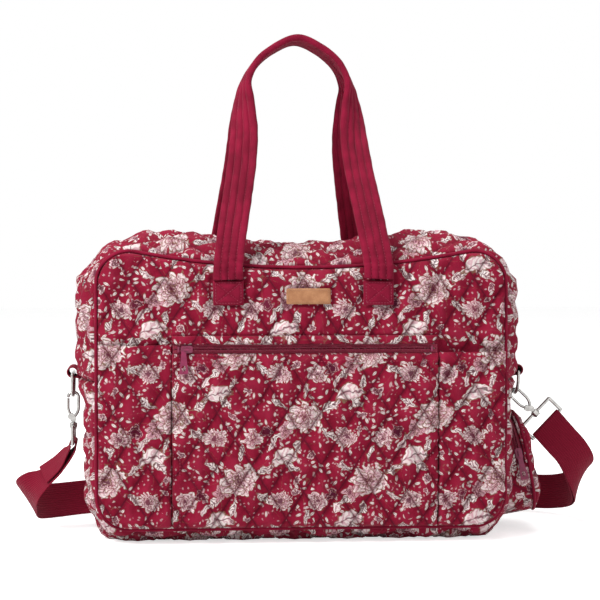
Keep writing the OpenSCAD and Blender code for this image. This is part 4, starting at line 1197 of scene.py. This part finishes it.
def pocketWall():
    full = archOutline()
    closed = full + [full[0]]
    arch = [p for p in full if p[1] >= -0.01]
    arch = sorted(arch, key=lambda p: -math.atan2(p[1], p[0]))
    legs = [p for p in closed if p[1] <= 0.01]
    start = min(range(len(legs)), key=lambda k: abs(legs[k][0] + pouch["r"]) + abs(legs[k][1]))
    legs = legs[start:] + legs[:start]
    inner = pouch["zipX"] - pouch["zipHalf"]
    outer = pouch["zipX"] + pouch["zipHalf"]
    bands = [wallBand(onGusset, lambda y, z: inner, arch, 3),
             wallBand(lambda y, z: outer, lambda y, z: pouch["depth"], arch, 2),
             wallBand(onGusset, lambda y, z: pouch["depth"], legs, 8)]
    for band in bands:
        facing(band, (0, 0, 1) if band is not bands[2] else (0, 0, -1))
    obj = joined(bands, "sidePocketWall")
    thicken(obj, pouch["wallThick"])
    finishCloth(obj, cotton, "quilted_cotton", None, "side_pocket_wall")
    # bound edge round the face, and a second binding where the wall meets the gusset
    for name, depth in (("faceBinding", lambda y, z: pouch["depth"]), ("wallBinding", onGusset)):
        path = [tuple(inPouch(depth(y, z) + pouch["bindUp"], y, z)) for y, z in full]
        cord = sweepMesh(name, path, [tuple(pouchX)] * len(path), ringSection(pouch["bindR"], 10),
                         closedLoop=True)
        finishCloth(cord, twill, "plain_cotton", None)


pocketWall()
print("side pocket made")

# clips: webbing tabs round the rings, the CAD's metal, and the strap
clip = {"tabX": 227.3, "loopX": 9.0, "loopZ": 5.0, "loopR": 6.2, "tabT": 1.8, "tabW": 36.0, "seam": 165.0,
        "ringX": 236.3, "ringLow": 143.9, "hang": 27.85, "barDrop": 21.3, "barR": 1.75, "slant": 46.0,
        "turnFrom": -112, "turn": 292}
strap = {"w": 38.0, "t": 1.8, "gap": 0.3, "runY": 126.0, "runZ": 23.0, "layer": 3.0, "adjusterX": 90.0, "barR": 1.5}


def ribbonSection(w, t, ribs=16):
    top = []
    for k in range(ribs * 2 + 1):
        f = k / (ribs * 2)
        taper = 0.65 if k in (0, ribs * 2) else 1.0
        top.append((w * (f - 0.5), t / 2 * taper * (1.0 if k % 2 else 0.8)))
    return top + [(x, -y) for x, y in reversed(top)]


def makeTab(name, node, side):
    cx, cz, r = clip["tabX"] + clip["loopX"], clip["seam"] + clip["loopZ"], clip["loopR"] - clip["tabT"] / 2
    pts = [(clip["tabX"] + 0.4, clip["seam"] - 0.9), (clip["tabX"] + 3.2, clip["seam"] - 0.8)]
    for k in range(25):
        a = math.radians(clip["turnFrom"] + clip["turn"] * k / 24)
        pts.append((cx + r * math.cos(a), cz + r * math.sin(a)))
    pts += [(clip["tabX"] + 3.2, clip["seam"] + 1.6), (clip["tabX"] + 0.4, clip["seam"] + 1.0)]
    rows = [(side * x, 0, z) for x, z in pts]
    obj = sweepMesh(name, rows, [(0, 1, 0)] * len(rows), ribbonSection(clip["tabW"], clip["tabT"] - 0.1))
    finishCloth(obj, webbing, "webbing", None, node)


makeTab("leftTab", "left_tab", -1)
makeTab("rightTab", "right_tab", 1)

wrap = clip["barR"] + strap["gap"] + strap["t"] / 2
slant = math.radians(clip["slant"])
reach = clip["hang"] + clip["barDrop"]
leftBar = (-clip["ringX"], 0, clip["ringLow"] - reach)
rightBar = (clip["ringX"] + reach * math.sin(slant), 0, clip["ringLow"] - reach * math.cos(slant))
leftRoute = [
    (-32, -2, -34.5, -.35, .9, .25), (-18, -2, -22.5, -.25, .95, .2), (-8, -1, -9, -.1, 1, .1),
    (-4, 0, -3.6, 0, 1, 0), (-wrap, 0, 0, 0, 1, 0), (-wrap * .7, 0, wrap * .7, 0, 1, 0), (0, 0, wrap, 0, 1, 0),
    (wrap * .7, 0, wrap * .7, 0, 1, 0), (wrap, 0, 0, 0, 1, 0), (0, -.5, -9, -.05, 1, .05),
    (-16, -2, -25.5, -.25, .95, .2), (-30, -2, -38, -.35, .9, .25), (-43, 4, -49, -.5, .75, .45),
    (-51, 20, -58, -.6, .4, .7), (-50, 44, -68, -.5, .05, .85), (-40, 70, -73, -.3, -.1, .95),
    (-22, 94, -75, -.12, -.05, 1), (4, 114, -75, 0, 0, 1), (40, 124, -73.5, 0, 0, 1)]
rightRoute = [
    (-50, 124, -85, 0, 0, 1), (-10, 115, -86.5, 0, 0, 1), (18, 98, -86.5, 0, 0, 1), (36, 74, -82, .1, 0, 1),
    (44, 48, -73, .25, -.1, .95), (43, 24, -60, .4, -.25, .9), (37, 8, -45, .55, -.2, .8),
    (27, 0, -30, .68, -.1, .72), (16, -3, -18, .7, 0, .71), (7, -3.6, -8, .7, 0, .72)]


def fromBar(bar, route):
    return [(p[0] + bar[0], p[1] + bar[1], p[2] + bar[2], *p[3:]) for p in route]


def roundRightBar(degrees):
    a = math.radians(degrees)
    up = (-math.sin(slant), 0, math.cos(slant))
    return (rightBar[0] + wrap * math.cos(a) * up[0], wrap * math.sin(a), rightBar[2] + wrap * math.cos(a) * up[2],
            math.cos(slant), 0, math.sin(slant))


strapRoute = fromBar(leftBar, leftRoute) + [(x, strap["runY"], strap["runZ"], 0, 0, 1)
                                            for x in (-140, strap["adjusterX"], 140)] \
    + fromBar(rightBar, rightRoute) + [roundRightBar(a) for a in (-90, -45, 0)]
strapLine = curveThrough(strapRoute, 8)
midIndex = 8 * (len(leftRoute) + 1)


def innerLayer(rows, i):
    w, n = ribbonAxes(rows[i - 1][:3], rows[i + 1][:3], rows[i][3:6])
    return (*(Vector(rows[i][:3]) + n * strap["layer"]), *w)


lastFree = 8 * (len(leftRoute) + 2 + len(rightRoute))
barY = strap["runY"] - strap["layer"] - strap["t"] / 2 - strap["gap"] - strap["barR"]
turn = strap["barR"] + strap["gap"] + strap["t"] / 2
returnLine = [roundRightBar(a) for a in (22, 36, 50, 65, 80, 95, 110)] \
    + [innerLayer(strapLine, i) for i in range(lastFree, midIndex + 3, -1)] \
    + [(strap["adjusterX"] + 12, strap["runY"] - strap["layer"], strap["runZ"], 0, 0, 1)] \
    + [(strap["adjusterX"] + turn * math.cos(math.radians(a)), barY + turn * math.sin(math.radians(a)),
        strap["runZ"], 0, 0, 1) for a in range(90, 271, 18)] \
    + [(strap["adjusterX"] + 14, barY - turn, strap["runZ"], 0, 0, 1)]


def lengthOf(rows):
    return sum(math.dist(p[:3], q[:3]) for p, q in zip(rows, rows[1:]))


def makeStrap(name, rows, holds, nodes=()):
    obj = sweepMesh(name, [p[:3] for p in rows], [p[3:6] for p in rows], ribbonSection(strap["w"], strap["t"]))
    for vert in obj.data.vertices:
        vert.co.z = max(vert.co.z, 0.0)
    obj.data.materials.append(webbing)
    asActive(obj)
    bpy.ops.object.shade_smooth_by_angle(angle=math.radians(50))
    [[c * mm for c in p] for p in holds]
    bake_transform(obj)
    if nodes:
        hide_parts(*nodes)
    [c * mm for c in rows[0][:3]]
    [[c * mm for c in p[:3]] for p in rows]
    print(name, round(lengthOf(rows)), "mm of webbing")


leftHold = ((leftBar[0], 0, leftBar[2] - 6), (leftBar[0], 0, 46))
rightHold = ((rightBar[0], 0, rightBar[2] - 10), (rightBar[0], 0, 50))
makeStrap("leftStrap", strapLine[:midIndex + 1], leftHold, ["shoulder_strap"])
makeStrap("rightStrap", list(reversed(strapLine[midIndex:])), rightHold)
makeStrap("strapReturn", returnLine, rightHold, ["strap_return"])
print("strap laid")

# CAD metal and zip parts get their finishes
for nodeName, obj in cadNodes.items():
    finish = None
    if any(w in nodeName for w in ("ring", "hook", "gate", "loop", "adjuster")):
        finish = nickel
    elif any(w in nodeName for w in ("slider", "pull", "stops")):
        finish = enamel
    elif "tapes" in nodeName:
        finish = tapeWeave
    if finish:
        obj.data.materials.clear()
        obj.data.materials.append(finish)
        asActive(obj)
        bpy.ops.object.shade_smooth_by_angle(angle=math.radians(35))

# stage, light and camera
stageLook = {"floor": (0.93, 0.93, 0.93), "glow": 0.62, "world": 0.30, "key": 64.0, "fill": 9.0, "top": 26.0,
             "lampsAt": (0, 0, 0.2)}


# 1 for the rays that the eye follows, 0 for those that only carry light
def seenRays(tree):
    path = tree.nodes.new("ShaderNodeLightPath")
    kinds = ("Camera", "Glossy", "Transmission")
    camera, glossy, through = [Num(tree, path.outputs[f"Is {kind} Ray"]) for kind in kinds]
    return camera.op("MAXIMUM", glossy).op("MAXIMUM", through)


def addFloor():
    emptySelection()
    bpy.ops.mesh.primitive_plane_add(size=12)
    floor = bpy.context.object
    floor.name = "floor"
    mat, tree, shader = newMaterial("paleFloor", 0.9)
    shader.inputs["Base Color"].default_value = (*stageLook["floor"], 1)
    glow = tree.nodes.new("ShaderNodeEmission")
    glow.inputs["Strength"].default_value = stageLook["glow"]
    both = tree.nodes.new("ShaderNodeAddShader")
    gate = tree.nodes.new("ShaderNodeMixShader")
    tree.links.new(shader.outputs[0], both.inputs[0])
    tree.links.new(glow.outputs[0], both.inputs[1])
    tree.links.new(seenRays(tree).socket, gate.inputs[0])
    tree.links.new(shader.outputs[0], gate.inputs[1])
    tree.links.new(both.outputs[0], gate.inputs[2])
    tree.links.new(gate.outputs[0], tree.nodes["Material Output"].inputs[0])
    floor.data.materials.append(mat)


def addWorld():
    world = bpy.data.worlds.new("studio")
    world.use_nodes = True
    tree = world.node_tree
    back = tree.nodes["Background"]
    level = seenRays(tree) * (1.0 - stageLook["world"]) + stageLook["world"]
    tree.links.new(level.socket, back.inputs["Strength"])
    back.inputs["Color"].default_value = (1, 1, 1, 1)
    bpy.context.scene.world = world


def aimed(name, data, spot, target):
    obj = bpy.data.objects.new(name, data)
    obj.location = spot
    obj.rotation_euler = (Vector(target) - Vector(spot)).to_track_quat("-Z", "Y").to_euler()
    bpy.context.collection.objects.link(obj)
    return obj


def addLamp(name, spot, power, size):
    lamp = bpy.data.lights.new(name, "AREA")
    lamp.energy, lamp.size = power, size
    aimed(name, lamp, spot, stageLook["lampsAt"])


view = {"azimuth": -4.3, "elevation": 2.0, "distance": 2.0, "target": (0.0044, 0.0, 0.2445), "lens": 112.5}


def addCamera():
    az, el = math.radians(view["azimuth"]), math.radians(view["elevation"])
    target = Vector(view["target"])
    spot = target + Vector((math.sin(az) * math.cos(el), -math.cos(az) * math.cos(el), math.sin(el))) * view["distance"]
    cam = bpy.data.cameras.new("camera")
    cam.lens, cam.sensor_width = view["lens"], 36.0
    bpy.context.scene.camera = aimed("camera", cam, spot, target)


addFloor()
addWorld()
addLamp("key", (-1.5, -1.25, 2.0), stageLook["key"], 1.2)
addLamp("fill", (1.6, -1.6, 0.9), stageLook["fill"], 1.6)
addLamp("top", (0.1, 0.3, 2.3), stageLook["top"], 1.8)
addCamera()
bpy.context.scene.view_settings.view_transform = "Standard"
print("stage set")
